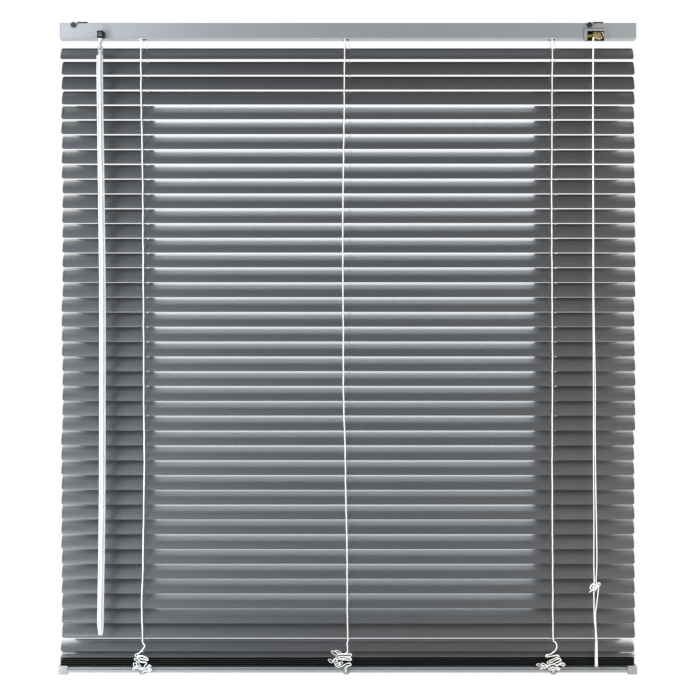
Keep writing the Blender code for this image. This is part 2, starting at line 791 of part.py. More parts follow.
def make_ladder_cord(name, side):
    """An upright cord of the middle ladder, along the edges of slats 2 to 40."""
    edge_y, edge_z = slat_edge(side)
    y = edge_y + side * (CORD_R + CORD_PLAY)
    top = slat_z(2) + edge_z + (LADDER_FRONT_LEAD if side < 0 else -3 * CORD_R)
    bottom = slat_z(SLAT_COUNT - 1) + edge_z - CORD_R
    x = LADDER_X["middle"]
    cord = add_object(
        name, tube_mesh(name, [(x, y, top), (x, y, bottom)], CORD_R), parts, WHITE_CORD
    )
    place_at(cord, (x, edge_y, slat_z(2) + edge_z))
    return cord


# ---------------------------------------------------------------- bottom rail
def make_bottom_rail():
    """A flat tube, open at its ends, with a hole under each ladder for its cord button."""
    half_length = HEADRAIL_LENGTH / 2 - RAIL_CAP_END - GAP
    outside = round_rectangle(RAIL_DEPTH, RAIL_HEIGHT, RAIL_CORNER)
    inside = round_rectangle(
        RAIL_DEPTH - 2 * RAIL_WALL, RAIL_HEIGHT - 2 * RAIL_WALL, RAIL_CORNER - RAIL_WALL
    )
    mesh = bar_mesh("bottom_rail", (outside, inside), -half_length, half_length, RAIL_Z)
    rail = add_object("bottom_rail", mesh, parts, SILVER)
    holes = cylinder_mesh(
        "button_holes",
        [(x, 0.0, RAIL_TOP_Z - RAIL_HEIGHT) for x in LADDER_X.values()],
        (0, 0, 1),
        BUTTON_HOLE_R,
        2 * BUTTON_HOLE_DEPTH,
        12,
    )
    return combine(rail, "DIFFERENCE", holes)


def make_bottom_cap(side, sign):
    """A clear cap that slips over the end of the bottom rail."""
    face = HEADRAIL_LENGTH / 2
    x_low, x_high = sorted((sign * face, sign * (face - RAIL_CAP_LENGTH)))
    outline = round_rectangle(RAIL_CAP_DEPTH, RAIL_CAP_HEIGHT, RAIL_CAP_CORNER)
    mesh = bar_mesh(f"bottom_cap_{side}", (outline,), x_low, x_high, RAIL_Z)
    cap = add_object(f"bottom_cap_{side}", mesh, parts, CLEAR_PLASTIC)
    pocket = round_rectangle(
        RAIL_DEPTH + 2 * GAP, RAIL_HEIGHT + 2 * GAP, RAIL_CORNER + GAP
    )
    hollow_low, hollow_high = sorted(
        (sign * (face - RAIL_CAP_END), sign * (face - RAIL_CAP_LENGTH - CUT_MARGIN))
    )
    cutter = bar_mesh(f"cap_pocket_{side}", (pocket,), hollow_low, hollow_high, RAIL_Z)
    return combine(cap, "DIFFERENCE", cutter)


# ---------------------------------------------------------------- the blind
clear_scene()
parts = new_collection("venetian_blind")
cutters = new_collection("cutters")
workshop = new_collection("workshop")

SILVER = new_material("silver_lacquer", (0.50, 0.52, 0.53), 0.32, 0.55)
SLAT_METAL = new_material("slat_lacquer", (0.38, 0.40, 0.41), 0.34, 0.45)
STEEL = new_material("zinc_plated_steel", (0.55, 0.56, 0.58), 0.30, 1.0)
DARK_STEEL = new_material("dark_bracket_steel", (0.07, 0.09, 0.12), 0.40, 0.5)
BRASS = new_material("brass", (0.70, 0.48, 0.20), 0.28, 1.0)
BLACK_PLASTIC = new_material("black_plastic", (0.03, 0.03, 0.03), 0.45)
LIGHT_PLASTIC = new_material("light_grey_plastic", (0.72, 0.73, 0.73), 0.45)
CLEAR_PLASTIC = new_material("clear_plastic", (0.86, 0.88, 0.90), 0.10, 0.0, 0.8)
WHITE_CORD = new_material("white_cord", (0.85, 0.85, 0.82), 0.80)

make_headrail()
make_headrail_cap("left", -1)
make_headrail_cap("right", 1)
make_bracket("left")
make_bracket("right")
make_tilt_rod()
make_tilter()
make_wand_hook()
make_wand()
make_cord_lock()
make_lock_roller()
make_pull_cord()
make_cord_tassel()
one_slat = slat_mesh()
one_slat.materials.append(SLAT_METAL)
make_slats(one_slat)
make_slat_stack(one_slat)
make_ladder_cord("ladder_cord_front", -1)
make_ladder_cord("ladder_cord_rear", 1)
make_bottom_rail()
make_bottom_cap("left", -1)
make_bottom_cap("right", 1)
bpy.context.view_layer.update()
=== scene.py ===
"""Looks of a lowered aluminium venetian blind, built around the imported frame.

Metres, +Z up, the room side faces -Y, and the blind hangs below z = 0.
"""

import json
import random
from math import asin, atan, cos, pi, radians, sin, sqrt

import bmesh
import bpy
from mathutils import Euler, Matrix, Vector


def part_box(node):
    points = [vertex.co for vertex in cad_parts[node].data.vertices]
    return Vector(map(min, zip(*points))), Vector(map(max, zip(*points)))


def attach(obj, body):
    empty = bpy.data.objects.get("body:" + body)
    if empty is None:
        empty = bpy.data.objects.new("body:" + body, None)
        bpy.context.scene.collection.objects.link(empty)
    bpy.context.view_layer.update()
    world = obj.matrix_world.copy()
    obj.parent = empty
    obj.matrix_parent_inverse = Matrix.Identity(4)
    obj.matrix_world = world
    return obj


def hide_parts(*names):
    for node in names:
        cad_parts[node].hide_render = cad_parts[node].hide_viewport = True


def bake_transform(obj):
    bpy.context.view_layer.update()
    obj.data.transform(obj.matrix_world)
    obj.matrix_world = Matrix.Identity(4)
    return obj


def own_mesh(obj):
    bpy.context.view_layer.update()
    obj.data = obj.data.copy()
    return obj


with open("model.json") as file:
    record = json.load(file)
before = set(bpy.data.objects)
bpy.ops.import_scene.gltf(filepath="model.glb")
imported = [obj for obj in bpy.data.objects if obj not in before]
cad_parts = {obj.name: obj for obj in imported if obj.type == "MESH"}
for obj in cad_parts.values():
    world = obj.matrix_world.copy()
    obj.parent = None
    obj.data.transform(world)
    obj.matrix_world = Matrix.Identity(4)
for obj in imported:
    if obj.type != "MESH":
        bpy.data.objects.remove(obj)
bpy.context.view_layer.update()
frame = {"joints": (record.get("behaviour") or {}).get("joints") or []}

DRAW = random.Random(7)
MM = 0.001

# ---------------- dimensions shared with the CAD
LADDERS = {"left": -0.284, "middle": -0.002, "right": 0.284}
SLAT_COUNT = 41
SLAT_HALF_LENGTH = 0.39725
SLAT_HALF = 0.0125
SLAT_THICKNESS = 0.0003
SLAT_CROWN = 0.0028
SLAT_CORNER = 0.003
SLAT_TILT, TOP_SLAT_TILT, BOTTOM_SLAT_TILT = 54.5, 45.0, 35.0
NOTCH_OFFSET = 0.0045
NOTCH_HALF = 0.001
NOTCH_FLOOR = 0.0109
STACK_HEIGHTS = (-0.8738, -0.879, -0.8819, -0.8848, -0.8877)
ROD_RADIUS = 0.0025
DRUM_RADIUS = 0.008
DRUM_GROOVE = 0.0064
DRUM_HALF = 0.007
HOOK_Z = -0.0335
LOCK_TOP = -0.0093
PULL_TOP = (0.3382, -0.016, -0.0215)

pivots = {j["child"]: Vector(j["pos_m"]) for j in frame["joints"] if "pos_m" in j}
rail_low, rail_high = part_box("bottom_rail")
head_low, head_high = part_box("headrail")
lock_low, lock_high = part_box("cord_lock")
tassel_low, tassel_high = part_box("cord_tassel")
wand_low, wand_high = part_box("wand")


def slat_tilt(number):
    return radians({1: TOP_SLAT_TILT, SLAT_COUNT: BOTTOM_SLAT_TILT}.get(number, SLAT_TILT))


def slat_height(y):
    return SLAT_CROWN * (1 / 3 - (y / SLAT_HALF) ** 2)


def slat_z(number):
    return pivots[f"slat_{number:02d}"].z


def on_slat(number, y):
    """World y and z of a point at y across slat number, on its crowned middle surface."""
    tilt, z = slat_tilt(number), slat_height(y)
    return (
        y * cos(tilt) - z * sin(tilt),
        slat_z(number) + y * sin(tilt) + z * cos(tilt),
    )


def new_object(name, data):
    """An object in the scene for a mesh, light or camera."""
    obj = bpy.data.objects.new(name, data)
    bpy.context.scene.collection.objects.link(obj)
    return obj


def new_mesh(name, bm):
    """A mesh from bm, which is freed."""
    mesh = bpy.data.meshes.new(name)
    bm.to_mesh(mesh)
    bm.free()
    return mesh


# ---------------- materials
def add_node(tree, kind, operation=None, **inputs):
    """A shader node with its operation; inputs name its sockets, with _ for a space."""
    node = tree.nodes.new(f"ShaderNode{kind}")
    if operation:
        node.operation = operation
    for socket, value in inputs.items():
        node.inputs[socket.replace("_", " ")].default_value = value
    return node


def ramped(tree, factor, dark, light, span=(0.0, 1.0)):
    """The colour of factor on a ramp from dark to light across span."""
    ramp = add_node(tree, "ValToRGB")
    for element, position, colour in zip(ramp.color_ramp.elements, span, (dark, light)):
        element.position = position
        element.color = (*colour, 1.0)
    tree.links.new(factor, ramp.inputs["Fac"])
    return ramp.outputs["Color"]


def raise_relief(tree, shader, height, strength, depth):
    """Bump on the shader from height."""
    relief = add_node(tree, "Bump", Strength=strength, Distance=depth)
    tree.links.new(height, relief.inputs["Height"])
    tree.links.new(relief.outputs["Normal"], shader.inputs["Normal"])


def principled(name, colour, roughness, **settings):
    """A material with its Principled shader; settings name other sockets of the shader."""
    material = bpy.data.materials.new(name)
    material.use_nodes = True
    shader = material.node_tree.nodes["Principled BSDF"]
    shader.inputs["Base Color"].default_value = (*colour, 1.0)
    shader.inputs["Roughness"].default_value = roughness
    for socket, value in settings.items():
        shader.inputs[socket.replace("_", " ")].default_value = value
    return material


def grained(name, colour, roughness, scale, tint, spread, bump, depth=0.00005, per_piece=0.0,
            **settings):
    """A material whose noise, stretched by scale, varies its colour and roughness and raises relief."""
    material = principled(name, colour, roughness, **settings)
    tree = material.node_tree
    links = tree.links
    shader = tree.nodes["Principled BSDF"]
    place = add_node(tree, "TexCoord")
    stretch = add_node(tree, "Mapping", Scale=scale)
    noise = add_node(tree, "TexNoise", Scale=1.0, Detail=5.0)
    links.new(place.outputs["Object"], stretch.inputs["Vector"])
    links.new(stretch.outputs["Vector"], noise.inputs["Vector"])
    painted = ramped(
        tree, noise.outputs["Fac"], [c * (1 - tint) for c in colour],
        [min(1.0, c * (1 + tint)) for c in colour], (0.25, 0.75),
    )
    if per_piece:
        info = add_node(tree, "ObjectInfo")
        shade = add_node(tree, "MapRange", To_Min=1.0 - per_piece, To_Max=1.0 + per_piece)
        tone = add_node(tree, "VectorMath", "SCALE")
        links.new(info.outputs["Random"], shade.inputs["Value"])
        links.new(painted, tone.inputs[0])
        links.new(shade.outputs["Result"], tone.inputs["Scale"])
        painted = tone.outputs["Vector"]
    links.new(painted, shader.inputs["Base Color"])
    rough = add_node(tree, "MapRange", To_Min=max(0.02, roughness - spread),
                     To_Max=min(1.0, roughness + spread))
    links.new(noise.outputs["Fac"], rough.inputs["Value"])
    links.new(rough.outputs["Result"], shader.inputs["Roughness"])
    raise_relief(tree, shader, noise.outputs["Fac"], bump, depth)
    return material


def braided(name, colour, roughness, around, along, depth, **settings):
    """Crossing strands on a cord, from its UV map: u goes round it and v along it. The colour is darker
    between the strands: painted shade in the grooves.
    """
    material = principled(name, colour, roughness, **settings)
    tree = material.node_tree
    shader = tree.nodes["Principled BSDF"]
    place = add_node(tree, "TexCoord")
    split = add_node(tree, "SeparateXYZ")
    tree.links.new(place.outputs["UV"], split.inputs["Vector"])

    def maths(operation, *terms):
        node = add_node(tree, "Math", operation)
        for socket, value in zip(node.inputs, terms):
            if isinstance(value, float):
                socket.default_value = value
            else:
                tree.links.new(value, socket)
        return node.outputs["Value"]

    turn = maths("MULTIPLY", split.outputs["X"], 2 * pi * around)
    run = maths("MULTIPLY", split.outputs["Y"], 2 * pi * along)
    strands = [maths("SINE", maths(operation, turn, run)) for operation in ("ADD", "SUBTRACT")]
    weave = maths("MAXIMUM", *strands)
    shade = add_node(tree, "MapRange", From_Min=-1.0)
    tree.links.new(weave, shade.inputs["Value"])
    # painted shade: the weave's low parts, between the strands, are darkened
    painted = ramped(tree, shade.outputs["Result"], [c * 0.84 for c in colour], colour)
    tree.links.new(painted, shader.inputs["Base Color"])
    raise_relief(tree, shader, weave, 0.5, depth)
    return material


SLAT = grained(
    "slat_lacquer", (0.222, 0.23, 0.24), 0.44, (9, 160, 160),
    tint=0.04, spread=0.03, bump=0.02, per_piece=0.04, Metallic=0.7, Coat_Weight=1.0, Coat_Roughness=0.05,
)
# painted shade: a near-black copy of the slat lacquer for the stacked slats below the top one, standing in
# for the shade they lie in
SHADED_SLAT = grained(
    "slat_lacquer_painted_stack_shade", (0.055, 0.056, 0.058), 0.42, (9, 160, 160),
    tint=0.04, spread=0.03, bump=0.02, Metallic=0.8, Coat_Weight=0.4, Coat_Roughness=0.06,
)
SILVER = grained(
    "silver_lacquer", (0.465, 0.485, 0.515), 0.27, (3, 120, 120),
    tint=0.008, spread=0.02, bump=0.0015, Metallic=0.5, Coat_Weight=0.1, Coat_Roughness=0.2,
)
STEEL = grained(
    "zinc_plated_steel", (0.6, 0.61, 0.63), 0.28, (30, 600, 600),
    tint=0.1, spread=0.08, bump=0.1, Metallic=1.0,
)
DARK_STEEL = grained(
    "blued_bracket_steel", (0.045, 0.065, 0.095), 0.3, (500, 500, 500),
    tint=0.3, spread=0.1, bump=0.2, Metallic=0.75,
)
BRASS = grained(
    "worn_brass", (0.86, 0.6, 0.24), 0.26, (700, 700, 700),
    tint=0.22, spread=0.1, bump=0.2, Metallic=0.75,
)
BLACK = grained(
    "black_moulded_plastic", (0.008, 0.009, 0.01), 0.38, (900, 900, 900),
    tint=0.25, spread=0.1, bump=0.35, depth=0.0001,
)
GREY = grained(
    "grey_moulded_plastic", (0.17, 0.175, 0.18), 0.3, (900, 900, 900),
    tint=0.15, spread=0.1, bump=0.3, depth=0.0001,
)
LIGHT = grained(
    "light_moulded_plastic", (0.66, 0.67, 0.67), 0.42, (800, 800, 800),
    tint=0.03, spread=0.08, bump=0.3, depth=0.0001,
)
CLEAR = grained(
    "clear_moulded_plastic", (0.93, 0.945, 0.95), 0.1, (350, 350, 350),
    tint=0.02, spread=0.05, bump=0.1, depth=0.0001, IOR=1.49, Transmission_Weight=0.62,
)
WAND_CLEAR = grained(
    "clear_acrylic", (0.93, 0.94, 0.95), 0.08, (60, 60, 8),
    tint=0.01, spread=0.02, bump=0.06, depth=0.0001, IOR=1.49, Transmission_Weight=0.72,
)
# painted highlight: matte white on the wand's rounded edges stands in for the bright highlights along them
WAND_EDGE_HIGHLIGHT = grained(
    "acrylic_edge_painted_highlight", (0.985, 0.985, 0.985), 0.35, (200, 200, 12),
    tint=0.015, spread=0.08, bump=0.1, Sheen_Weight=0.1,
)
KNOB_STEEL = grained(
    "blued_knob", (0.075, 0.1, 0.125), 0.3, (500, 500, 500),
    tint=0.2, spread=0.1, bump=0.15, Metallic=0.6,
)
HAZY = grained(
    "hazy_moulded_plastic", (0.37, 0.375, 0.38), 0.16, (350, 350, 350),
    tint=0.02, spread=0.05, bump=0.1, depth=0.0001, IOR=1.49, Transmission_Weight=0.25,
)
MILKY = grained(
    "milky_plastic", (0.78, 0.79, 0.79), 0.12, (500, 500, 500),
    tint=0.05, spread=0.05, bump=0.1, depth=0.0001, IOR=1.49, Transmission_Weight=0.45,
)
CORD = braided(
    "braided_white_cord", (0.95, 0.95, 0.925), 0.6, 2.0, 900.0, 0.00008, Sheen_Weight=0.2
)


# ---------------- building shapes
def face_outward(bm):
    bmesh.ops.recalc_face_normals(bm, faces=bm.faces)


def piece(name, bm, material, body=None, smooth_angle=40):
    """An object from bm, which rides on body; edges under smooth_angle degrees look smooth."""
    bm.normal_update()
    for face in bm.faces:
        face.smooth = True
    for edge in bm.edges:
        edge.smooth = edge.is_manifold and edge.calc_face_angle(0.0) < radians(smooth_angle)
    mesh = new_mesh(name, bm)
    mesh.materials.append(material)
    obj = new_object(name, mesh)
    if body:
        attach(obj, body)
    return obj


def add_box(bm, low, high, bevel=0.0, segments=2):
    """A box between two corners, with its edges rounded by bevel."""
    low, high = Vector(low), Vector(high)
    size = Matrix.Diagonal((high - low).to_4d())
    size[3][3] = 1.0
    made = bmesh.ops.create_cube(bm, size=1.0, matrix=Matrix.Translation((low + high) / 2) @ size)
    if bevel:
        edges = {e for v in made["verts"] for e in v.link_edges}
        bmesh.ops.bevel(
            bm, geom=list(edges), offset=bevel, segments=segments, profile=0.5, affect="EDGES",
            clamp_overlap=True,
        )


def add_turned(bm, profile, origin, axis, steps=32):
    """A solid turned about axis through origin: profile is (radius, height), ends on the axis."""
    turn = Vector(axis).to_track_quat("Z", "Y").to_matrix().to_4x4()
    place = Matrix.Translation(origin) @ turn
    rings = []
    for radius, height in profile:
        if radius < 1e-7:
            rings.append([bm.verts.new(place @ Vector((0, 0, height)))])
            continue
        rings.append(
            [bm.verts.new(place @ Vector((radius * cos(a), radius * sin(a), height)))
             for a in (2 * pi * i / steps for i in range(steps))]
        )
    for lower, upper in zip(rings, rings[1:]):
        for i in range(steps):
            j = (i + 1) % steps
            if len(lower) == 1 and len(upper) > 1:
                bm.faces.new((lower[0], upper[j], upper[i]))
            elif len(upper) == 1 and len(lower) > 1:
                bm.faces.new((lower[i], lower[j], upper[0]))
            elif len(lower) > 1:
                bm.faces.new((lower[i], lower[j], upper[j], upper[i]))
    face_outward(bm)


def smooth_route(knots, step):
    """Points about step apart on the Catmull-Rom curve through the knots."""
    knots = [Vector(knot) for knot in knots]
    ends = [2 * knots[0] - knots[1]] + knots + [2 * knots[-1] - knots[-2]]
    points = []
    for a, b, c, d in zip(ends, ends[1:], ends[2:], ends[3:]):
        count = max(1, round((c - b).length / step))
        for index in range(count):
            t = index / count
            points.append(
                0.5 * (2 * b + (c - a) * t + (2 * a - 5 * b + 4 * c - d) * t * t
                       + (3 * b - a - 3 * c + d) * t * t * t)
            )
    return points + [knots[-1]]


def add_tube(bm, points, radius, sides=8, phase=0.0):
    """A closed tube along points, with u round it and v along it in metres as its UV map."""
    uv = bm.loops.layers.uv.verify()
    points = [Vector(p) for p in points]
    radii = radius if isinstance(radius, (list, tuple)) else [radius] * len(points)
    along = [0.0]
    for a, b in zip(points, points[1:]):
        along.append(along[-1] + (b - a).length)
    across = None
    rings = []
    for i, p in enumerate(points):
        tangent = (points[min(i + 1, len(points) - 1)] - points[max(i - 1, 0)]).normalized()
        if across is None:
            across = tangent.cross(Vector((0, 1, 0)))
            if across.length < 0.1:
                across = tangent.cross(Vector((1, 0, 0)))
        across = (across - tangent * across.dot(tangent)).normalized()
        other = tangent.cross(across)
        ring = []
        for k in range(sides):
            a = 2 * pi * (k + phase) / sides
            ring.append(bm.verts.new(p + radii[i] * (across * cos(a) + other * sin(a))))
        rings.append(ring)
    for i, (lower, upper) in enumerate(zip(rings, rings[1:])):
        for k in range(sides):
            j = (k + 1) % sides
            face = bm.faces.new((lower[k], lower[j], upper[j], upper[k]))
            for loop, (u, v) in zip(
                face.loops,
                ((k, along[i]), (k + 1, along[i]), (k + 1, along[i + 1]), (k, along[i + 1])),
            ):
                loop[uv].uv = (u / sides, v)
    for ring, flip in ((rings[0], True), (rings[-1], False)):
        bm.faces.new(reversed(ring) if flip else ring)


def cord_piece(name, routes, radius, body=None, sides=8):
    """One piece of white cord from one or more routes."""
    bm = bmesh.new()
    for route in routes:
        add_tube(bm, route, radius, sides)
    face_outward(bm)
    return piece(name, bm, CORD, body, smooth_angle=60)


def cut(obj, *boxes):
    """Cut boxes out of a piece with exact Booleans, applied."""
    for low, high in boxes:
        bm = bmesh.new()
        add_box(bm, low, high)
        tool = new_object("tool", new_mesh("tool", bm))
        boolean = obj.modifiers.new("cut", "BOOLEAN")
        boolean.operation = "DIFFERENCE"
        boolean.solver = "EXACT"
        boolean.object = tool
        bpy.context.view_layer.update()
        mesh = bpy.data.meshes.new_from_object(
            obj.evaluated_get(bpy.context.evaluated_depsgraph_get())
        )
        obj.modifiers.clear()
        obj.data = mesh
        bpy.data.objects.remove(tool)
    return obj


def swept(name, outline, x_low, x_high, material, smooth_angle=35):
    """A closed outline in y and z, extruded between two x values, its ends filled."""
    bm = bmesh.new()
    rings = [[bm.verts.new((x, y, z)) for y, z in outline] for x in (x_low, x_high)]
    count = len(outline)
    for i in range(count):
        j = (i + 1) % count
        bm.faces.new((rings[0][i], rings[0][j], rings[1][j], rings[1][i]))
    bm.faces.new(reversed(rings[0]))
    bm.faces.new(rings[1])
    face_outward(bm)
    return piece(name, bm, material, None, smooth_angle)


# ---------------- camera
CAMERA_PLACE = (0.0002, -2.4925, -0.4506)
LENS_MM, SENSOR_MM = 92.8, 36.0
camera = new_object("camera", bpy.data.cameras.new("camera"))
camera.location = CAMERA_PLACE
camera.rotation_euler = Euler((pi / 2, 0.0, 0.0))
camera.data.sensor_width = SENSOR_MM
camera.data.lens = LENS_MM
bpy.context.scene.camera = camera
bpy.context.scene.view_settings.view_transform = "Standard"

# ---------------- pull cord: two strands and a knot
CORD_Y = PULL_TOP[1]
STRAND_RADIUS = 0.00065
tassel_x = (tassel_low.x + tassel_high.x) / 2
cord_end = (tassel_x, CORD_Y, tassel_high.z - 0.003)
LEFT_STRAND = (
    PULL_TOP,
    (0.338, -0.0163, -0.06),
    (0.3379, -0.0163, -0.13),
    (0.3381, -0.0163, -0.25),
    (0.3382, -0.0163, -0.36),
    (0.3386, -0.0162, -0.43),
    (0.339, -0.0161, -0.5),
    (0.3391, -0.016, -0.56),
    (0.3392, -0.016, -0.62),
    (0.3396, -0.016, -0.69),
    (0.3395, -0.016, -0.745),
    (0.34, -0.0155, -0.774),
    (0.3396, -0.0155, -0.787),
    (0.3397, -0.016, -0.805),
    (0.3401, -0.016, -0.822),
    (0.3415, -0.016, -0.838),
    (tassel_x - 0.0007, CORD_Y, tassel_high.z - 0.003),
)
RIGHT_STRAND = (
    (PULL_TOP[0] + 0.0012, -0.0157, PULL_TOP[2]),
    (0.3389, -0.0156, -0.06),
    (0.3388, -0.0155, -0.13),
    (0.3391, -0.0155, -0.25),
    (0.3393, -0.0156, -0.36),
    (0.3402, -0.0158, -0.43),
    (0.3414, -0.016, -0.5),
    (0.3412, -0.016, -0.56),
    (0.3418, -0.016, -0.62),
    (0.343, -0.016, -0.69),
    (0.3437, -0.016, -0.745),
    (0.3426, -0.0165, -0.774),
    (0.3458, -0.016, -0.781),
    (0.344, -0.016, -0.799),
    (0.3418, -0.016, -0.818),
    (0.3424, -0.016, -0.838),
    (tassel_x + 0.0007, CORD_Y, tassel_high.z - 0.003),
)


def shortens(obj):
    """Gives the piece a mesh of its own; it does not draw the pull cord up into the lock as the bottom
    rail comes down.
    """
    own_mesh(obj)


bm = bmesh.new()
knot_centre = Vector((0.3408, CORD_Y, -0.78))
trefoil = []
for i in range(73):
    t = 2 * pi * i / 72
    trefoil.append(
        knot_centre
        + Vector((0.0017 * (sin(t) + 2 * sin(2 * t)),
                  -0.0014 * sin(3 * t),
                  0.0016 * (cos(t) - 2 * cos(2 * t))))
    )
add_tube(bm, trefoil, STRAND_RADIUS * 1.15)
wrap = smooth_route(
    [knot_centre + Vector(p) * MM for p in (
        (-2.4, 1.0, 4.4), (-5.4, 0.0, 1.6), (-6.4, -1.0, -2.2), (-3.0, -2.2, -4.8),
        (1.2, -2.6, -2.6), (2.8, -2.0, 1.8), (5.2, -1.2, 5.4), (7.4, 0.0, 3.8), (6.2, 1.2, 0.4),
        (2.4, 2.0, -1.6), (-2.0, 2.1, -3.8), (-5.0, 0.6, -6.2), (-7.6, 0.0, -7.4))],
    0.0004,
)
add_tube(bm, wrap, STRAND_RADIUS)
face_outward(bm)
knot = piece("cord_knot", bm, CORD, "headrail", smooth_angle=60)
shortens(knot)

bm = bmesh.new()
t_top, t_end, t_r = tassel_high.z, tassel_low.z, (tassel_high.x - tassel_low.x) / 2
add_turned(
    bm,
    [(0.0, t_top), (t_r * 0.45, t_top), (t_r * 0.62, t_top - 0.0006), (t_r * 0.72, t_top - 0.004),
     (t_r * 0.66, t_top - 0.0046), (t_r * 0.76, t_top - 0.0056), (t_r * 0.86, t_top - 0.016),
     (t_r * 0.98, t_end + 0.006), (t_r, t_end + 0.0016), (t_r * 0.92, t_end + 0.0004),
     (t_r * 0.72, t_end), (t_r * 0.55, t_end + 0.0002), (t_r * 0.5, t_end + 0.002),
     (0.0, t_end + 0.002)],
    (tassel_x, CORD_Y, 0.0), (0, 0, 1), 32,
)
tassel = piece("pull_tassel", bm, LIGHT, "tassel", smooth_angle=35)
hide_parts("cord_tassel")

for name, knots in (("pull_strand_left", LEFT_STRAND), ("pull_strand_right", RIGHT_STRAND)):
    route = smooth_route(knots, 0.004)
    strand = cord_piece(name, [route], STRAND_RADIUS, "headrail")
    shortens(strand)
    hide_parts("pull_cord")


# ---------------- slats
def slat_mesh():
    """The crowned slat as a smooth shell with round corners and three notches in its rear edge."""
    ends = [d * MM for d in (0.0, 0.15, 0.5, 1.0, 1.8, 3.0)]
    columns = [-SLAT_HALF_LENGTH + d for d in ends] + [SLAT_HALF_LENGTH - d for d in ends]
    notches = [(x + NOTCH_OFFSET - NOTCH_HALF, x + NOTCH_OFFSET + NOTCH_HALF) for x in LADDERS.values()]
    columns = sorted(columns + [x for pair in notches for x in pair])
    rows = [y * MM for y in (-12.5, -12.2, -10.6, -8.5, -6.3, -4.2, -2.1, 0.0, 2.1, 4.2, 6.3, 8.0, 9.5,
                             10.9, 12.0, 12.5)]

    def limit(x):
        inset = SLAT_CORNER - min(SLAT_CORNER, SLAT_HALF_LENGTH - abs(x))
        return SLAT_HALF - SLAT_CORNER + sqrt(max(0.0, SLAT_CORNER**2 - inset**2))

    def kept(i, j):
        middle = (columns[i] + columns[i + 1]) / 2
        return not (rows[j] >= NOTCH_FLOOR - 1e-6 and any(a < middle < b for a, b in notches))

    bm = bmesh.new()
    faces = {}
    for side in (1, -1):
        grid = {}
        for i, x in enumerate(columns):
            for j, row in enumerate(rows):
                y = row * limit(x) / SLAT_HALF
                slope = atan(-2 * SLAT_CROWN * y / SLAT_HALF**2)
                grid[i, j] = bm.verts.new(
                    (x, y - side * SLAT_THICKNESS / 2 * sin(slope),
                     slat_height(y) + side * SLAT_THICKNESS / 2 * cos(slope))
                )
        faces[side] = grid
    for i in range(len(columns) - 1):
        for j in range(len(rows) - 1):
            if not kept(i, j):
                continue
            corners = ((i, j), (i + 1, j), (i + 1, j + 1), (i, j + 1))
            bm.faces.new([faces[1][c] for c in corners]).smooth = True
            bm.faces.new([faces[-1][c] for c in reversed(corners)]).smooth = True
            for k, (di, dj) in enumerate(((0, -1), (1, 0), (0, 1), (-1, 0))):
                a, b = corners[k], corners[(k + 1) % 4]
                beyond_i, beyond_j = i + di, j + dj
                inside = 0 <= beyond_i < len(columns) - 1 and 0 <= beyond_j < len(rows) - 1
                if not (inside and kept(beyond_i, beyond_j)):
                    bm.faces.new((faces[1][b], faces[1][a], faces[-1][a], faces[-1][b]))
    loose = [v for v in bm.verts if not v.link_faces]
    bmesh.ops.delete(bm, geom=loose, context="VERTS")
    face_outward(bm)
    for edge in bm.edges:
        edge.smooth = edge.calc_face_angle(0.0) < radians(40)
    mesh = new_mesh("slat", bm)
    mesh.materials.append(SLAT)
    return mesh


def place_slat(name, mesh, location, tilt, roll=0.0):
    """A slat of that mesh, turned by tilt about its length and by roll about its width."""
    obj = new_object(name, mesh)
    obj.location = location
    obj.rotation_euler = Euler((tilt, roll, 0.0))
    bpy.context.view_layer.update()
    return obj


# each run of slats, down to the given number, hangs a little to one side
SLAT_DRIFT = ((1, -1.0), (4, 0.6), (6, 0.0), (9, 0.7), (17, 1.4), (21, 0.5), (26, 1.3), (34, 0.1),
              (40, 0.7), (SLAT_COUNT, -0.4))


def drift(number):
    return next(shift for last, shift in SLAT_DRIFT if number <= last)


one_slat = slat_mesh()
for number in range(1, SLAT_COUNT + 1):
    body = f"slat_{number:02d}"
    shift = Vector((drift(number) + DRAW.uniform(-0.3, 0.3), 0.0, DRAW.uniform(-0.12, 0.12))) * MM
    tilt = slat_tilt(number) + radians(DRAW.uniform(-0.5, 0.5))
    slat = place_slat(f"slat_blade_{number:02d}", one_slat, pivots[body] + shift, tilt)
    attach(slat, body)
    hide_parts(body)

# each stacked slat has its own share of the rail's travel, from which t is worked out but not used: the
# stacked slats stay fixed in place
STACK_SHARES = (0.07, 0.265, 0.47, 0.68, 0.89)
STACK_TILTS = (10.0, 1.4, 0.5, -0.6, 0.4)
for index, (height, share, tilt) in enumerate(zip(STACK_HEIGHTS, STACK_SHARES, STACK_TILTS)):
    shift = DRAW.uniform(-0.8, 0.8) * MM
    slat = place_slat(
        f"stacked_slat_{SLAT_COUNT + 1 + index}", one_slat.copy(), Vector((shift, 0.0, height)),
        radians(tilt), radians(DRAW.uniform(-0.06, 0.06)),
    )
    # every stacked slat but the top one gets the near-black lacquer: painted shade of the stack
    if index:
        slat.data.materials[0] = SHADED_SLAT
    t = 0.5 - sin(asin(1 - 2 * share) / 3)
    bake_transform(slat)
    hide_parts("slat_stack")

# ---------------- ladders and lift cords
LADDER_CORD = 0.00075
RUNG_CORD = 0.00045
LIFT_CORD = 0.0006
WANDER = {  # how far a ladder strays from its line, at heights down the blind
    "left": ((-0.02, -2.0), (-0.067, -2.6), (-0.25, 0.0), (-0.45, 1.0), (-0.62, 1.9), (-0.745, 0.2),
             (-0.806, -1.6), (-0.86, -0.4)),
    "middle": ((-0.02, -1.2), (-0.067, -2.8), (-0.29, -5.0), (-0.5, -4.2), (-0.62, -1.3),
               (-0.745, 0.9), (-0.806, 1.3), (-0.86, 2.0)),
    "right": ((-0.02, -0.6), (-0.067, -1.1), (-0.25, -1.7), (-0.45, -0.7), (-0.62, -0.9),
              (-0.806, -0.2), (-0.86, 0.3)),
}


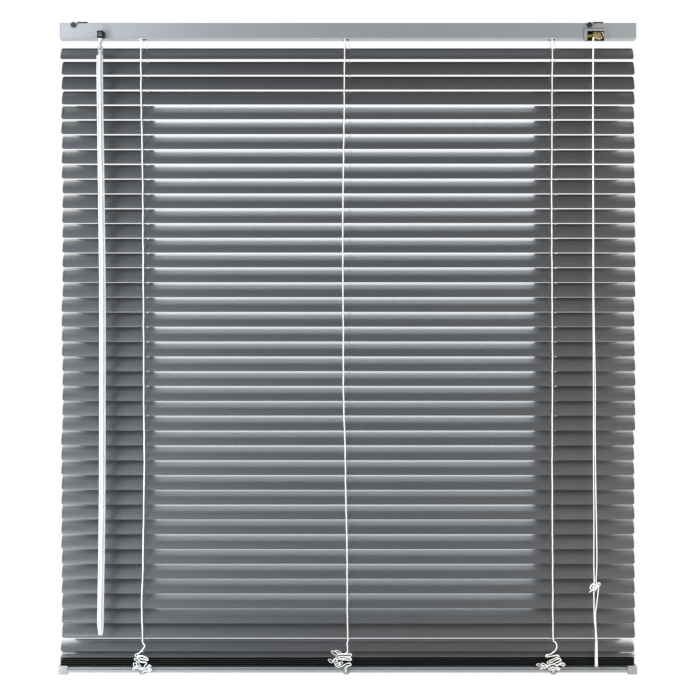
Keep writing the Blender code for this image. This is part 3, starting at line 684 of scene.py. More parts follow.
def ladder_x(side, z):
    """Where a ladder runs at height z, eased between its wander's points."""
    knots = WANDER[side]
    if z >= knots[0][0]:
        return LADDERS[side] + knots[0][1] * MM
    for (za, a), (zb, b) in zip(knots, knots[1:]):
        if za >= z >= zb:
            t = (z - za) / (zb - za)
            t = t * t * (3 - 2 * t)
            return LADDERS[side] + (a + (b - a) * t) * MM
    return LADDERS[side] + knots[-1][1] * MM


EDGE_CLEAR = 0.0012
SECOND_LAST = SLAT_COUNT - 1
LADDER_EXIT_Z = -0.0226  # where the ladders leave the headrail


def upright(side, edge):
    """Points of an upright from slat 1 to slat 40 along their front (-1) or rear (+1) edges."""
    points = []
    for number in range(1, SLAT_COUNT):
        y, z = on_slat(number, edge * SLAT_HALF)
        y += edge * EDGE_CLEAR
        jog = DRAW.uniform(-0.25, 0.25) * MM
        points.append(Vector((ladder_x(side, z) + jog, y, z)))
        if number < SECOND_LAST:
            ny, nz = on_slat(number + 1, edge * SLAT_HALF)
            middle = (z + nz) / 2
            sway = DRAW.uniform(-0.15, 0.15) * MM
            middle_y = (y + ny + edge * EDGE_CLEAR) / 2 + edge * 0.0003
            points.append(Vector((ladder_x(side, middle) + sway, middle_y, middle)))
    return smooth_route(points, 0.0034)


for side, x in LADDERS.items():
    for face, edge, cad in (("front", -1, "ladder_cord_front"), ("rear", 1, "ladder_cord_rear")):
        route = upright(side, edge)
        cord = cord_piece(f"ladder_{face}_{side}", [route], LADDER_CORD, f"ladder_{face}")
        if side == "middle":
            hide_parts(cad)
        # from the drum through the headrail's slot to slat 1
        top = route[0]
        lead = smooth_route(
            [(top.x, edge * 0.0066, -0.012), (top.x, edge * 0.0073, -0.017),
             (top.x, edge * 0.0082, LADDER_EXIT_Z), (top.x, top.y, top.z + 0.004),
             (top.x, top.y, top.z - 0.001)], 0.0012,
        )
        tail = cord_piece(f"ladder_top_{face}_{side}", [lead], LADDER_CORD)
        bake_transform(tail)

# rungs: two thin cords under each slat at each ladder, in millimetres across it, share of the
# spread, and millimetres above the slat's edges
RUNG_SHAPE = ((-13.4, 0.2, -0.2), (-12.9, 0.7, -0.55), (-11.6, 1.0, -0.9), (-4.0, 1.0, -0.6),
              (4.0, 1.0, -0.6), (11.6, 1.0, -0.9), (12.9, 0.7, -0.55), (13.4, 0.2, -0.2))
RUNG_SPREAD, TOP_RUNG_SPREAD = 0.0009, 0.0034
for number in range(1, SLAT_COUNT + 1):
    tilt = slat_tilt(number)
    routes = []
    for side in LADDERS:
        x = ladder_x(side, slat_z(number))
        spread = TOP_RUNG_SPREAD if number == 1 and side != "middle" else RUNG_SPREAD
        for way in (-1, 1):
            points = []
            for y, out, lift in RUNG_SHAPE:
                across, height = y * MM, slat_height(SLAT_HALF) + lift * MM
                wy = across * cos(tilt) - height * sin(tilt)
                wz = slat_z(number) + across * sin(tilt) + height * cos(tilt)
                points.append((x + way * spread * out, wy, wz))
            routes.append(smooth_route(points, 0.002))
    cord_piece(f"ladder_rungs_{number:02d}", routes, RUNG_CORD, f"slat_{number:02d}", sides=6)

# lift cords: down through the rear notches
LIFT_Y, LIFT_SWAY = 0.0076, 0.0004
LIFT_GUIDE, LIFT_EXIT_Z = (0.0098, -0.0192), -0.0225  # y and z in the cradle, z of the headrail's foot
LIFT_END_Z = slat_z(SECOND_LAST) + 0.006
for side, x in LADDERS.items():
    lx = x + NOTCH_OFFSET
    top_z = slat_z(1) + 0.004
    main = smooth_route(
        [(lx - LIFT_SWAY, 0.0082, top_z), (lx, LIFT_Y + 0.0003, -0.05), (lx + 0.0005, LIFT_Y, -0.25),
         (lx - LIFT_SWAY, LIFT_Y, -0.5), (lx, LIFT_Y, -0.7), (lx, LIFT_Y, LIFT_END_Z)], 0.006,
    )
    cord_piece(f"lift_cord_{side}", [main], LIFT_CORD, "ladder_rear")
    lead = smooth_route(
        [(lx, *LIFT_GUIDE), (lx, 0.0092, LIFT_EXIT_Z), (lx - LIFT_SWAY, 0.0082, top_z),
         (lx - LIFT_SWAY, 0.0081, top_z - 0.001)], 0.0015,
    )
    tail = cord_piece(f"lift_cord_top_{side}", [lead], LIFT_CORD)
    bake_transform(tail)

for index, (side, x) in enumerate(LADDERS.items()):
    lx = x + NOTCH_OFFSET
    lane = 0.0088 + 0.0013 * (index - 1)
    run = smooth_route(
        [(lx, *LIFT_GUIDE), (lx + 0.0012, 0.0099, -0.018), (lx + 0.006, 0.0098, -0.0175),
         (lx + 0.03, lane + 0.0005, -0.0176), ((lx + lock_low.x) / 2, lane, -0.0185),
         (lock_low.x - 0.012, lane - 0.001, -0.0172),
         (lock_low.x + 0.001, 0.0058 + 0.0012 * index, -0.015)], 0.006,
    )
    cord_piece(f"lift_cord_run_{side}", [run], LIFT_CORD, "headrail")

# the slack of each ladder's front cord lies in loops in front of the stacked slats
TANGLES = {  # x from the ladder, y and z, in millimetres
    "left": (
        (0.8, -14, -858.1), (2.9, -14.4, -860.7), (3.1, -14.6, -863.3), (0.8, -14.8, -866.5),
        (-2.3, -15, -870.2), (-4.6, -15.2, -872.3), (-8.4, -15, -873.2), (-9.8, -15, -875.3),
        (-7, -15.8, -876.4), (-1.4, -16.8, -876), (4, -16.8, -877.7), (7.8, -16.4, -879.4),
        (8.6, -15.4, -881.4), (6.4, -14.6, -882.2), (2.9, -14.6, -881.3), (-3.5, -14.6, -880.3),
        (-9.4, -14.8, -878.6), (-10.8, -15.6, -879.8), (-8.7, -16.2, -881.8), (-2.3, -16.6, -884.4),
        (5, -16.8, -884.8), (6.4, -16, -886.6), (4, -15, -888.7), (2.4, -14.6, -891.5),
        (-1.4, -14.8, -893.4), (-5.5, -15.4, -889.3), (-9, -16, -885.6), (-11.5, -16.2, -885.4),
        (-12.2, -15.6, -888.4), (-9.8, -15.2, -891), (-10.6, -15.2, -893.6), (-12.6, -15.6, -894.4),
        (-12.4, -16.6, -892.4), (-8.2, -17.2, -889.8), (-4.6, -17.2, -893.2), (0.8, -17, -894.6),
        (5.5, -16.2, -893), (10, -15.4, -889.6), (12.2, -15.2, -889), (12.2, -15.8, -890.8),
        (9.3, -16.4, -891.4), (8.5, -16.6, -894.2), (10.6, -16.4, -894.6), (12.8, -16, -893.8),
        (13, -15.4, -895.6), (10.2, -15, -897.1), (4, -14.6, -897), (-0.6, -14.4, -898.4),
        (-1.4, -12, -900.4), (-1, -4, -901.2), (0, -0.5, -900.4),
    ),
    "middle": (
        (0.8, -14.2, -858), (1.4, -14.6, -862), (1.6, -14.8, -866.5), (0.9, -15, -870.5),
        (-1.5, -15.2, -872.6), (-6, -15.4, -873.2), (-11, -15.8, -871.9), (-16.6, -16.2, -869.4),
        (-19.8, -15.8, -868.6), (-20.6, -15.2, -870.4), (-17.6, -15, -873.4), (-13.8, -15, -874.6),
        (-9, -15.2, -874), (-4, -16.2, -873.4), (2.6, -16.8, -873.6), (6.6, -16.4, -873.4),
        (7, -15.6, -875.6), (4.4, -15, -877.2), (-1, -14.8, -877.4), (-7.6, -15, -877.2),
        (-14, -15.4, -877.4), (-15.4, -16.2, -878.8), (-11.6, -16.6, -879.8), (-5, -17, -879.6),
        (1.4, -17, -878.2), (6, -16.6, -879.4), (7.2, -15.8, -881), (4.6, -15.2, -882.4),
        (-0.8, -15, -881.4), (-7.2, -14.8, -881.8), (-14, -15, -880.4), (-18.4, -15.8, -882.6),
        (-20, -16.4, -885), (-23.6, -16.6, -883.2), (-24.8, -16, -881), (-22.4, -15.4, -880.4),
        (-19.2, -15.2, -882.4), (-16, -15, -886), (-12.6, -15.2, -889), (-8.6, -15.8, -886.8),
        (-8.8, -16.6, -884.6), (-12.2, -17, -885.4), (-15.6, -17, -888.2), (-11.2, -16.8, -891),
        (-6, -16.4, -889.4), (-1, -16, -886.8), (4.6, -15.6, -886.4), (6.6, -15.4, -888.4),
        (3.2, -15.4, -890), (-1, -15.8, -890.6), (-2, -15, -894), (-1.4, -14.4, -897.8),
        (-1.2, -12, -900.4), (-0.6, -4, -901.2), (0, -0.5, -900.4),
    ),
    "right": (
        (3.4, -14, -858), (4.6, -14.4, -862.8), (3.6, -14.6, -866.4), (1, -14.8, -869.8),
        (-5, -15, -873.6), (-10.6, -15.2, -874.6), (-10.4, -15.8, -877.2), (-2, -16.6, -876),
        (5.6, -16.4, -875.4), (6.8, -15.8, -877.6), (-2, -15, -880.6), (-8.4, -15.2, -884),
        (-7.4, -15.8, -886.2), (1, -16.8, -881.9), (8.6, -16.4, -879.7), (10.2, -15.8, -882.6),
        (3, -15, -885.6), (-6, -14.8, -888.4), (-18.6, -15.2, -889.9), (-23.4, -15.6, -888.2),
        (-21, -16.2, -886.4), (-14, -16.4, -889.9), (-18.6, -15.6, -893), (-16, -15, -893.6),
        (-11, -15, -891), (-2, -16.6, -887.3), (5, -16.8, -888.9), (10.8, -16.4, -886),
        (15.4, -15.8, -886.5), (14.4, -15.2, -889.9), (8, -15, -887.9), (3.4, -15.6, -891.9),
        (8.6, -16.4, -893.2), (6, -16.8, -895), (-3, -16.2, -891.4), (-7, -15.6, -894.6),
        (-1, -15, -895.6), (-0.8, -14.4, -898.4), (-0.6, -12, -900.4), (-0.4, -4, -901.2),
        (0, -0.5, -900.4),
    ),
}
LEAD_KNOTS = 6  # the first points of a tangle belong to the lead from slat 40
TANGLE_CORD = 0.00045
# a second strand follows the first one's loops, narrower and a little aside
TWIN_WIDTH, TWIN_SHIFT, TWIN_FOOT = 0.78, Vector((1.4, -1.3, 1.1)) * MM, Vector((1.2, 0.0, 0.0)) * MM
for side, knots in TANGLES.items():
    x = LADDERS[side]
    places = [Vector((x + kx * MM, y * MM, z * MM)) for kx, y, z in knots]
    y40, z40 = on_slat(SECOND_LAST, -SLAT_HALF)
    start = Vector((ladder_x(side, z40), y40 - EDGE_CLEAR, z40))
    head = Vector((start.x + 0.0003, -0.0105, z40 - 0.0036))
    bend = smooth_route([start, start.lerp(head, 0.5), head], 0.0008)
    link = cord_piece(f"ladder_link_front_{side}", [bend], LADDER_CORD)
    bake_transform(link)
    lead = smooth_route([start.lerp(head, 0.9), head] + places[:LEAD_KNOTS], 0.0008)
    lead_piece = cord_piece(f"ladder_lead_front_{side}", [lead], LADDER_CORD)
    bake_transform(lead_piece)
    slack = places[LEAD_KNOTS - 1:]
    twin = [Vector((x + (p.x - x) * TWIN_WIDTH, p.y, p.z)) + TWIN_SHIFT for p in slack[1:-4]]
    tail = [p + TWIN_FOOT for p in slack[-3:]]
    loops = cord_piece(
        f"ladder_slack_{side}",
        [smooth_route(slack, 0.0007), smooth_route(slack[:1] + twin + tail, 0.0007)],
        TANGLE_CORD, "bottom_rail",
    )
    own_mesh(loops)
    # rear cord and lift cord, from slat 40 to the rail behind the stack
    rear_y, rear_z = on_slat(SECOND_LAST, SLAT_HALF)
    for name, edge_y, top_z, stack_y, rail_y, foot_z, target in (
        ("ladder_lead_rear", rear_y + EDGE_CLEAR, rear_z, 0.0131, 0.0136, -0.8935, ladder_x(side, -0.84)),
        ("lift_cord_end", LIFT_Y, LIFT_END_Z, 0.0101, 0.011, -0.8915, x + NOTCH_OFFSET),
    ):
        upper = Vector((target, edge_y, top_z))
        lower = Vector((target, edge_y + 0.0012, top_z - 0.004))
        short = cord_piece(
            f"{name.replace('lead', 'link').replace('end', 'link')}_{side}",
            [smooth_route([upper, upper.lerp(lower, 0.5), lower], 0.001)], LADDER_CORD,
        )
        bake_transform(short)
        rest = smooth_route(
            [upper.lerp(lower, 0.9), lower, (target, stack_y, -0.856), (target, rail_y, -0.872),
             (target, rail_y, -0.886), (target, rail_y - 0.0006, foot_z)], 0.0012,
        )
        long = cord_piece(f"{name}_{side}", [rest], LADDER_CORD)
        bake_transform(long)


# ---------------- headrail
def headrail_outline():
    """The folded sheet: outside from front lip to rear lip, then back along its inside."""
    wall, corner, lip, hem = 0.0006, 0.0011, 0.003, 0.0009
    outside = [(-0.0125 + lip, head_high.z - hem), (-0.0125 + lip, head_high.z), (-0.012, head_high.z),
               (-0.0125, head_high.z - 0.0005)]
    inside = [(-0.0125 + lip - wall, head_high.z - hem), (-0.0125 + lip - wall, head_high.z - wall),
              (-0.0125 + wall, head_high.z - wall)]
    low = head_low.z
    for radius, points in ((corner, outside), (corner - wall, inside)):
        for step in range(9):
            angle = pi + step / 8 * pi / 2
            points.append(
                (-0.0125 + corner + radius * cos(angle), low + corner + radius * sin(angle))
            )
    outer = outside + [(-y, z) for y, z in reversed(outside)]
    inner = inside + [(-y, z) for y, z in reversed(inside)]
    return outer + list(reversed(inner))


channel = swept(
    "headrail_channel", headrail_outline(), head_low.x, head_high.x, SILVER
)
NOSE_X, NOSE_HALF = -0.341, 0.0044
NOSE_TOP, NOSE_END = -0.0137, -0.0235
SLOT_HALF, BELOW = 0.0065, -0.03  # half of a drum's slot, and a height under the headrail
cut(
    channel,
    *(((x - SLOT_HALF, -0.01, BELOW), (x + SLOT_HALF, 0.0105, -0.0203)) for x in LADDERS.values()),
    ((NOSE_X - NOSE_HALF - 0.0005, -0.02, BELOW),
     (NOSE_X + NOSE_HALF + 0.0005, -0.0092, NOSE_TOP + 0.0005)),
    ((lock_low.x - 0.0002, -0.02, BELOW), (lock_high.x + 0.0002, -0.0027, LOCK_TOP + 0.0002)),
)
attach(channel, "headrail")
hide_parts("headrail")

CAP_FACE = 0.4
for side, sign in (("left", -1), ("right", 1)):
    low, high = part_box(f"headrail_cap_{side}")
    face = sign * CAP_FACE
    bm = bmesh.new()
    plate = sorted((face, face - sign * 0.002))
    add_box(bm, (plate[0], low.y, low.z), (plate[1], high.y, high.z), 0.0008, 3)
    inner = sorted((face - sign * 0.0019, face - sign * 0.012))
    add_box(bm, (inner[0], -0.0106, -0.0213), (inner[1], 0.0106, -0.0027), 0.0006, 2)
    for rib in (-0.006, 0.0, 0.006):
        add_box(bm, (inner[0], rib - 0.0006, -0.0208), (inner[1], rib + 0.0006, -0.0023), 0.0002, 1)
    cap = piece(f"end_cap_{side}", bm, LIGHT, "headrail")
    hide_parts(f"headrail_cap_{side}")

# brackets: a strap over the rail, hooked in front and behind, with a turned locking knob
KNOB_X = {"left": -0.379, "right": 0.334}
SCREW_OFFSETS, HOLE_HALF, HOLE_Y = (0.001, 0.013), 0.0021, 0.003
for side, x in KNOB_X.items():
    low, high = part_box(f"bracket_{side}")
    outer, inner = 0.0139, 0.0129
    bm = bmesh.new()
    add_box(bm, (low.x, -0.005, -0.001), (high.x, outer, 0.0), 0.0003, 2)
    add_box(bm, (x + 0.0046, -outer, -0.001), (high.x, -0.0045, 0.0), 0.0003, 2)
    add_box(bm, (low.x + 0.003, inner, -0.004), (high.x - 0.003, outer, -0.0004), 0.0003, 2)
    add_box(bm, (x + 0.005, -outer, -0.0026), (high.x - 0.001, -inner, -0.0004), 0.0003, 2)
    add_box(bm, (x - 0.0022, -outer, -0.0058), (x + 0.0062, -inner, -0.0016), 0.0003, 2)
    plate = piece(f"bracket_strap_{side}", bm, DARK_STEEL, None)
    bm = bmesh.new()
    profile = [(0.0, 0.0), (0.0034, 0.0), (0.0039, 0.0006), (0.0039, 0.0026), (0.0035, 0.0031),
               (0.0028, 0.0031), (0.0025, 0.0022), (0.0013, 0.0022), (0.001, 0.0027), (0.0, 0.0027)]
    add_turned(bm, profile, (x, -0.0125, -0.0042), (0, -1, 0), 28)
    piece(f"bracket_knob_{side}", bm, KNOB_STEEL, "headrail", smooth_angle=35)
    for offset in SCREW_OFFSETS:
        cut(plate, ((x + offset - HOLE_HALF, HOLE_Y - HOLE_HALF, -0.005),
                    (x + offset + HOLE_HALF, HOLE_Y + HOLE_HALF, 0.005)))
    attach(plate, "headrail")
    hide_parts(f"bracket_{side}")

# tilt rod, drums and their cradles
bm = bmesh.new()
rod_low, rod_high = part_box("tilt_rod")
rod_z = pivots["tilt_rod"].z
add_turned(
    bm,
    [(0.0, rod_low.x), (ROD_RADIUS - 0.0003, rod_low.x), (ROD_RADIUS, rod_low.x + 0.0004),
     (ROD_RADIUS, rod_high.x - 0.0004), (ROD_RADIUS - 0.0003, rod_high.x), (0.0, rod_high.x)],
    (0, 0, rod_z), (1, 0, 0), 24,
)
rod = piece("tilt_rod_bar", bm, STEEL, "tilt_rod", smooth_angle=35)
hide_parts("tilt_rod")
for side, x in LADDERS.items():
    bm = bmesh.new()
    add_turned(
        bm,
        [(ROD_RADIUS, -DRUM_HALF), (DRUM_RADIUS - 0.0005, -DRUM_HALF), (DRUM_RADIUS, -DRUM_HALF + 0.0004),
         (DRUM_RADIUS, -DRUM_HALF + 0.0012), (DRUM_GROOVE + 0.0002, -DRUM_HALF + 0.0022),
         (DRUM_GROOVE, -0.002), (DRUM_GROOVE + 0.0008, -0.0012), (DRUM_GROOVE + 0.0008, 0.0012),
         (DRUM_GROOVE, 0.002), (DRUM_GROOVE + 0.0002, DRUM_HALF - 0.0022),
         (DRUM_RADIUS, DRUM_HALF - 0.0012), (DRUM_RADIUS, DRUM_HALF - 0.0004),
         (DRUM_RADIUS - 0.0005, DRUM_HALF), (ROD_RADIUS, DRUM_HALF), (ROD_RADIUS, -DRUM_HALF)],
        (x, 0, rod_z), (1, 0, 0), 36,
    )
    piece(f"ladder_drum_{side}", bm, GREY, "tilt_rod", smooth_angle=35)
    bm = bmesh.new()
    for sign in (-1, 1):
        wall = sorted((x + sign * 0.0078, x + sign * 0.009))
        add_box(bm, (wall[0], -0.0112, -0.021), (wall[1], 0.0078, rod_z - 0.0028), 0.0002, 1)
        for horn in (-0.004, 0.004):
            add_box(bm, (wall[0], horn - 0.0009, rod_z - 0.003),
                    (wall[1], horn + 0.0009, rod_z + 0.0022), 0.0003, 2)
        rim = sorted((x + sign * 0.0046, x + sign * 0.0062))
        add_box(bm, (rim[0], -0.0098, -0.0229), (rim[1], 0.0103, -0.0212), 0.0003, 2)
    add_box(bm, (x - 0.0062, -0.0098, -0.0229), (x + 0.0062, -0.0091, -0.0212), 0.0002, 1)
    add_box(bm, (x - 0.0062, 0.0096, -0.0229), (x + 0.0062, 0.0103, -0.0212), 0.0002, 1)
    piece(f"drum_cradle_{side}", bm, LIGHT, "headrail")

# ---------------- tilter, hook and wand
WAND_Y = pivots["wand"].y
low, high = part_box("tilter")
bm = bmesh.new()
add_box(bm, (low.x, -0.011, low.z + 0.0018), (high.x, high.y, high.z), 0.0008, 2)
tilter = piece("tilter_housing", bm, BLACK, None)
cut(tilter, ((low.x - 0.001, -0.0034, rod_z - 0.0034), (high.x + 0.001, 0.0034, high.z + 0.001)))
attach(tilter, "headrail")
bm = bmesh.new()
add_box(bm, (NOSE_X - NOSE_HALF, WAND_Y - 0.003, NOSE_END),
        (NOSE_X + NOSE_HALF, -0.01, NOSE_TOP), 0.0004, 2)
piece("tilter_nose", bm, BLACK, "headrail")
# painted highlight: the raised frame is grey on the black nose, standing in for the reflection along it
bm = bmesh.new()
for sign in (-1, 1):  # a raised frame on the nose
    side_x = sorted((NOSE_X + sign * 0.0017, NOSE_X + sign * 0.0025))
    add_box(bm, (side_x[0], WAND_Y - 0.0037, -0.0218), (side_x[1], WAND_Y - 0.0028, -0.0162), 0.0002, 2)
add_box(bm, (NOSE_X - 0.0025, WAND_Y - 0.0037, -0.0172),
        (NOSE_X + 0.0025, WAND_Y - 0.0028, -0.0162), 0.0002, 2)
add_turned(bm, [(0.0, 0.0), (0.0012, 0.0), (0.0012, 0.0006), (0.0009, 0.0009), (0.0, 0.0009)],
           (NOSE_X, WAND_Y - 0.0029, -0.0199), (0, -1, 0), 20)
piece("nose_frame", bm, GREY, "headrail")
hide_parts("tilter")

HOOK_X = pivots["wand"].x
LEAN = -0.0002  # the link hangs a little to the left
LINK_RADIUS, LINK_WIRE = 0.0034, 0.0011
EYE_RADIUS, EYE_WIRE = 0.0028, 0.001
bm = bmesh.new()
add_turned(
    bm,
    [(0.0, NOSE_END - 0.0003), (0.0036, NOSE_END - 0.0003), (0.004, NOSE_END - 0.0008),
     (0.0038, NOSE_END - 0.002), (0.003, NOSE_END - 0.0026), (0.0034, NOSE_END - 0.0032),
     (0.0026, NOSE_END - 0.0062), (0.0019, NOSE_END - 0.007), (0.0, NOSE_END - 0.007)],
    (HOOK_X, WAND_Y, 0), (0, 0, 1), 24,
)
wire = [(HOOK_X, WAND_Y, NOSE_END - 0.004), (HOOK_X + LEAN * 0.3, WAND_Y, HOOK_Z + 0.0052)]
for step in range(30):
    angle = radians(62 - 10 * step)
    z = HOOK_Z + LINK_RADIUS * sin(angle)
    lean = LEAN * (0.3 + 0.7 * (HOOK_Z + LINK_RADIUS - z) / (2 * LINK_RADIUS))
    wire.append((HOOK_X + lean, WAND_Y + LINK_RADIUS * cos(angle), z))
add_tube(bm, smooth_route(wire, 0.0005), LINK_WIRE, 12)
face_outward(bm)
hook = piece("wand_hook_link", bm, MILKY, "wand_hook", smooth_angle=50)
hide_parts("wand_hook")

bm = bmesh.new()
WAND_TOP, WAND_ROD, WAND_ROUND = -0.0475, 0.0049, 0.0009
eye_x, eye_z = HOOK_X + LEAN, HOOK_Z - LINK_RADIUS - 0.0003
ring = []
for step in range(33):
    angle = 2 * pi * step / 32 + pi / 2
    ring.append((eye_x + EYE_RADIUS * cos(angle), WAND_Y, eye_z + EYE_RADIUS * sin(angle)))
add_tube(bm, ring, EYE_WIRE, 12)
add_turned(
    bm,
    [(0.0, eye_z - 0.0022), (0.0022, eye_z - 0.0026), (0.0034, eye_z - 0.0032), (0.0034, -0.0424),
     (0.0025, -0.043), (0.0025, -0.0438), (0.0032, -0.0444), (0.0036, -0.0478), (0.0024, -0.0486),
     (0.0, -0.0486)],
    (eye_x, WAND_Y, 0), (0, 0, 1), 24,
)
ferrule = piece("wand_ferrule", bm, CLEAR, "wand")
# how far the wand bows to the right, in millimetres at heights down it
BOW = ((WAND_TOP, -0.8), (-0.0702, -0.8), (-0.1501, 0.2), (-0.2466, 1.5), (-0.33, 2.6), (-0.4258, 3.0),
       (-0.5223, 2.9), (-0.6187, 2.7), (-0.7152, 2.0), (-0.7842, 0.8), (-0.8324, 0.2), (wand_low.z, 0.1))
axis_line = smooth_route([(HOOK_X + bow * MM, WAND_Y, z) for z, bow in BOW], 0.02)
radii = [WAND_ROD * (0.62 + 0.38 * min(1.0, (p.z - wand_low.z) / 0.012)) for p in axis_line]
bm = bmesh.new()
add_tube(bm, axis_line, radii, 6, phase=0.5)
face_outward(bm)
corner_lines = [
    e for e in bm.edges
    if e.calc_face_angle(0.0) > radians(30) and abs(e.verts[0].co.z - e.verts[1].co.z) > MM
]
rounding = bmesh.ops.bevel(
    bm, geom=corner_lines, offset=WAND_ROUND, segments=3, profile=0.5, affect="EDGES"
)
# the rounded edges get the white edge material: painted highlight
for face in rounding["faces"]:
    face.material_index = 1
rod_piece = piece("wand_rod", bm, WAND_CLEAR, "wand", smooth_angle=20)
rod_piece.data.materials.append(WAND_EDGE_HIGHLIGHT)
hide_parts("wand")

# ---------------- cord lock
lx0, lx1 = lock_low.x, lock_high.x
front, rear = -0.015, -0.003
open_x0, open_x1 = 0.3306, 0.354
roof, wall = -0.0125, 0.0005
bm = bmesh.new()
add_box(bm, (lx0, front, lock_low.z), (lx1, rear, LOCK_TOP), 0.0012, 3)
bezel = piece("lock_bezel", bm, HAZY, None)
cut(bezel, ((open_x0, front - 0.002, lock_low.z - 0.002), (open_x1, rear - 0.0006, roof)))
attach(bezel, "headrail")
bm = bmesh.new()
add_box(bm, (lx0 + 0.0007, rear + 0.0001, -0.0211), (lx1 - 0.0007, 0.0085, -0.005), 0.0006, 2)
housing = piece("lock_housing", bm, LIGHT, "headrail")
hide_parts("cord_lock")
bm = bmesh.new()
add_box(bm, (open_x0 + 0.0001, -0.0046, lock_low.z + 0.001),
        (open_x1 - 0.0001, -0.004, roof - 0.0001))
add_box(bm, (open_x0 + 0.0001, -0.0135, roof - wall), (open_x1 - 0.0001, -0.004, roof - 0.0001))
for a, b in ((open_x0 + 0.0001, open_x0 + wall), (open_x1 - wall, open_x1 - 0.0001)):
    add_box(bm, (a, -0.0132, lock_low.z + 0.001), (b, -0.004, roof - wall))
add_box(bm, (open_x1 - 0.0042, -0.0128, -0.015), (open_x1 - 0.0012, -0.006, roof - wall), 0.0004, 2)
piece("lock_liner", bm, BLACK, "headrail")
bm = bmesh.new()
GUARD_Y, GUARD_WIRE = -0.0139, 0.0005
arc = []
for step in range(13):
    angle = pi * (1.12 + 0.76 * step / 12)
    arc.append((0.3466 + 0.005 * cos(angle), GUARD_Y, -0.0196 + 0.004 * sin(angle)))
add_tube(bm, arc, GUARD_WIRE)
add_tube(bm, [(0.3508, GUARD_Y, -0.014), (0.3528, GUARD_Y, -0.0168), (0.3534, GUARD_Y, -0.02)], GUARD_WIRE)
face_outward(bm)
piece("lock_guard", bm, LIGHT, "headrail", smooth_angle=60)

# brass barrel, knurled, on its axle, and the plain guide pin beside it
roller_y, roller_z = pivots["lock_roller"].y, pivots["lock_roller"].z
bm = bmesh.new()
KNURLS = 72
RIM, VALLEY, CHAMFERED = 0.0042, 0.0039, 0.0037
x_marks = [0.3387, 0.3391, 0.3403, 0.3409, 0.3479, 0.3484, 0.3494, 0.3498]
rings = []
for k, mark in enumerate(x_marks):
    ring = []
    for i in range(KNURLS):
        valley = k in (3, 4) and i % 2
        radius = CHAMFERED if k in (0, 7) else (VALLEY if valley else RIM)
        a = 2 * pi * (i + (0.5 if k == 4 else 0.0)) / KNURLS
        place = (mark, roller_y + radius * cos(a), roller_z + radius * sin(a))
        ring.append(bm.verts.new(place))
    rings.append(ring)
for lower, upper in zip(rings, rings[1:]):
    for i in range(KNURLS):
        j = (i + 1) % KNURLS
        bm.faces.new((lower[i], lower[j], upper[j], upper[i]))
bm.faces.new(reversed(rings[0]))
bm.faces.new(rings[-1])
add_turned(
    bm,
    [(0.0, 0.33), (0.0009, 0.33), (0.0011, 0.3303), (0.0011, 0.3549), (0.0009, 0.3552),
     (0.0, 0.3552)],
    (0, roller_y, roller_z), (1, 0, 0), 20,
)
barrel = piece("knurled_roller", bm, BRASS, "lock_roller", smooth_angle=25)
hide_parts("lock_roller")
bm = bmesh.new()
add_turned(
    bm,
    [(0.0, 0.3312), (0.0022, 0.3312), (0.0026, 0.3316), (0.0026, 0.333), (0.0019, 0.3338),
     (0.0019, 0.3352), (0.0026, 0.336), (0.0026, 0.3368), (0.0022, 0.3372), (0.0, 0.3372)],
    (0, -0.0098, -0.0186), (1, 0, 0), 28,
)
piece("lock_guide_pin", bm, BRASS, "headrail", smooth_angle=30)


# ---------------- bottom rail
def rail_outline():
    """Outside of the rail, with a groove along its front and its rear."""
    half_y, corner = 0.0125, 0.0012
    groove_top, groove_foot, groove_depth = rail_high.z - 0.0016, rail_high.z - 0.003, 0.004
    points = []
    for quarter, (sy, z) in enumerate(
        ((1, rail_high.z - corner), (-1, rail_high.z - corner), (-1, rail_low.z + corner),
         (1, rail_low.z + corner))
    ):
        centre = Vector((sy * (half_y - corner), z))
        if quarter == 2:
            points += [(-half_y, groove_top), (groove_depth - half_y, groove_top),
                       (groove_depth - half_y, groove_foot), (-half_y, groove_foot)]
        for step in range(8):
            angle = (quarter + step / 7) * pi / 2
            points.append(tuple(centre + corner * Vector((cos(angle), sin(angle)))))
    return points + [(half_y, groove_foot), (half_y - groove_depth, groove_foot),
                     (half_y - groove_depth, groove_top), (half_y, groove_top)]


BUTTON_Y = -0.0093  # the cord plugs are clipped on near the rail's front edge
rail = swept("rail_body", rail_outline(), rail_low.x, rail_high.x, SILVER)
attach(rail, "bottom_rail")
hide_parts("bottom_rail")
for side, sign in (("left", -1), ("right", 1)):
    low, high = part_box(f"bottom_cap_{side}")
    bm = bmesh.new()
    add_box(bm, low, high, 0.0016, 3)
    cap = piece(f"rail_cap_{side}", bm, HAZY, None)
    pocket = sorted((sign * (CAP_FACE - 0.0018), sign * (CAP_FACE - 0.02)))
    cut(cap, ((pocket[0], -0.01265, rail_low.z - 0.00015), (pocket[1], 0.01265, rail_high.z + 0.00015)))
    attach(cap, "bottom_rail")
    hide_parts(f"bottom_cap_{side}")
for side, x in LADDERS.items():
    bm = bmesh.new()
    z = rail_low.z
    add_turned(
        bm,
        [(0.0, z + 0.0006), (0.0042, z + 0.0006), (0.0046, z + 0.0002), (0.0048, z - 0.0006),
         (0.0044, z - 0.0014), (0.0034, z - 0.002), (0.0018, z - 0.0023), (0.0, z - 0.0023)],
        (x, BUTTON_Y, 0), (0, 0, 1), 28,
    )
    hoop = []
    for step in range(25):
        angle = pi * step / 24
        hoop.append(
            (x - 0.0042 * cos(angle), BUTTON_Y - 0.0046, z + 0.0022 - 0.0034 * sin(angle))
        )
    add_tube(bm, hoop, 0.001, 10)
    piece(f"cord_button_{side}", bm, HAZY, "bottom_rail", smooth_angle=50)

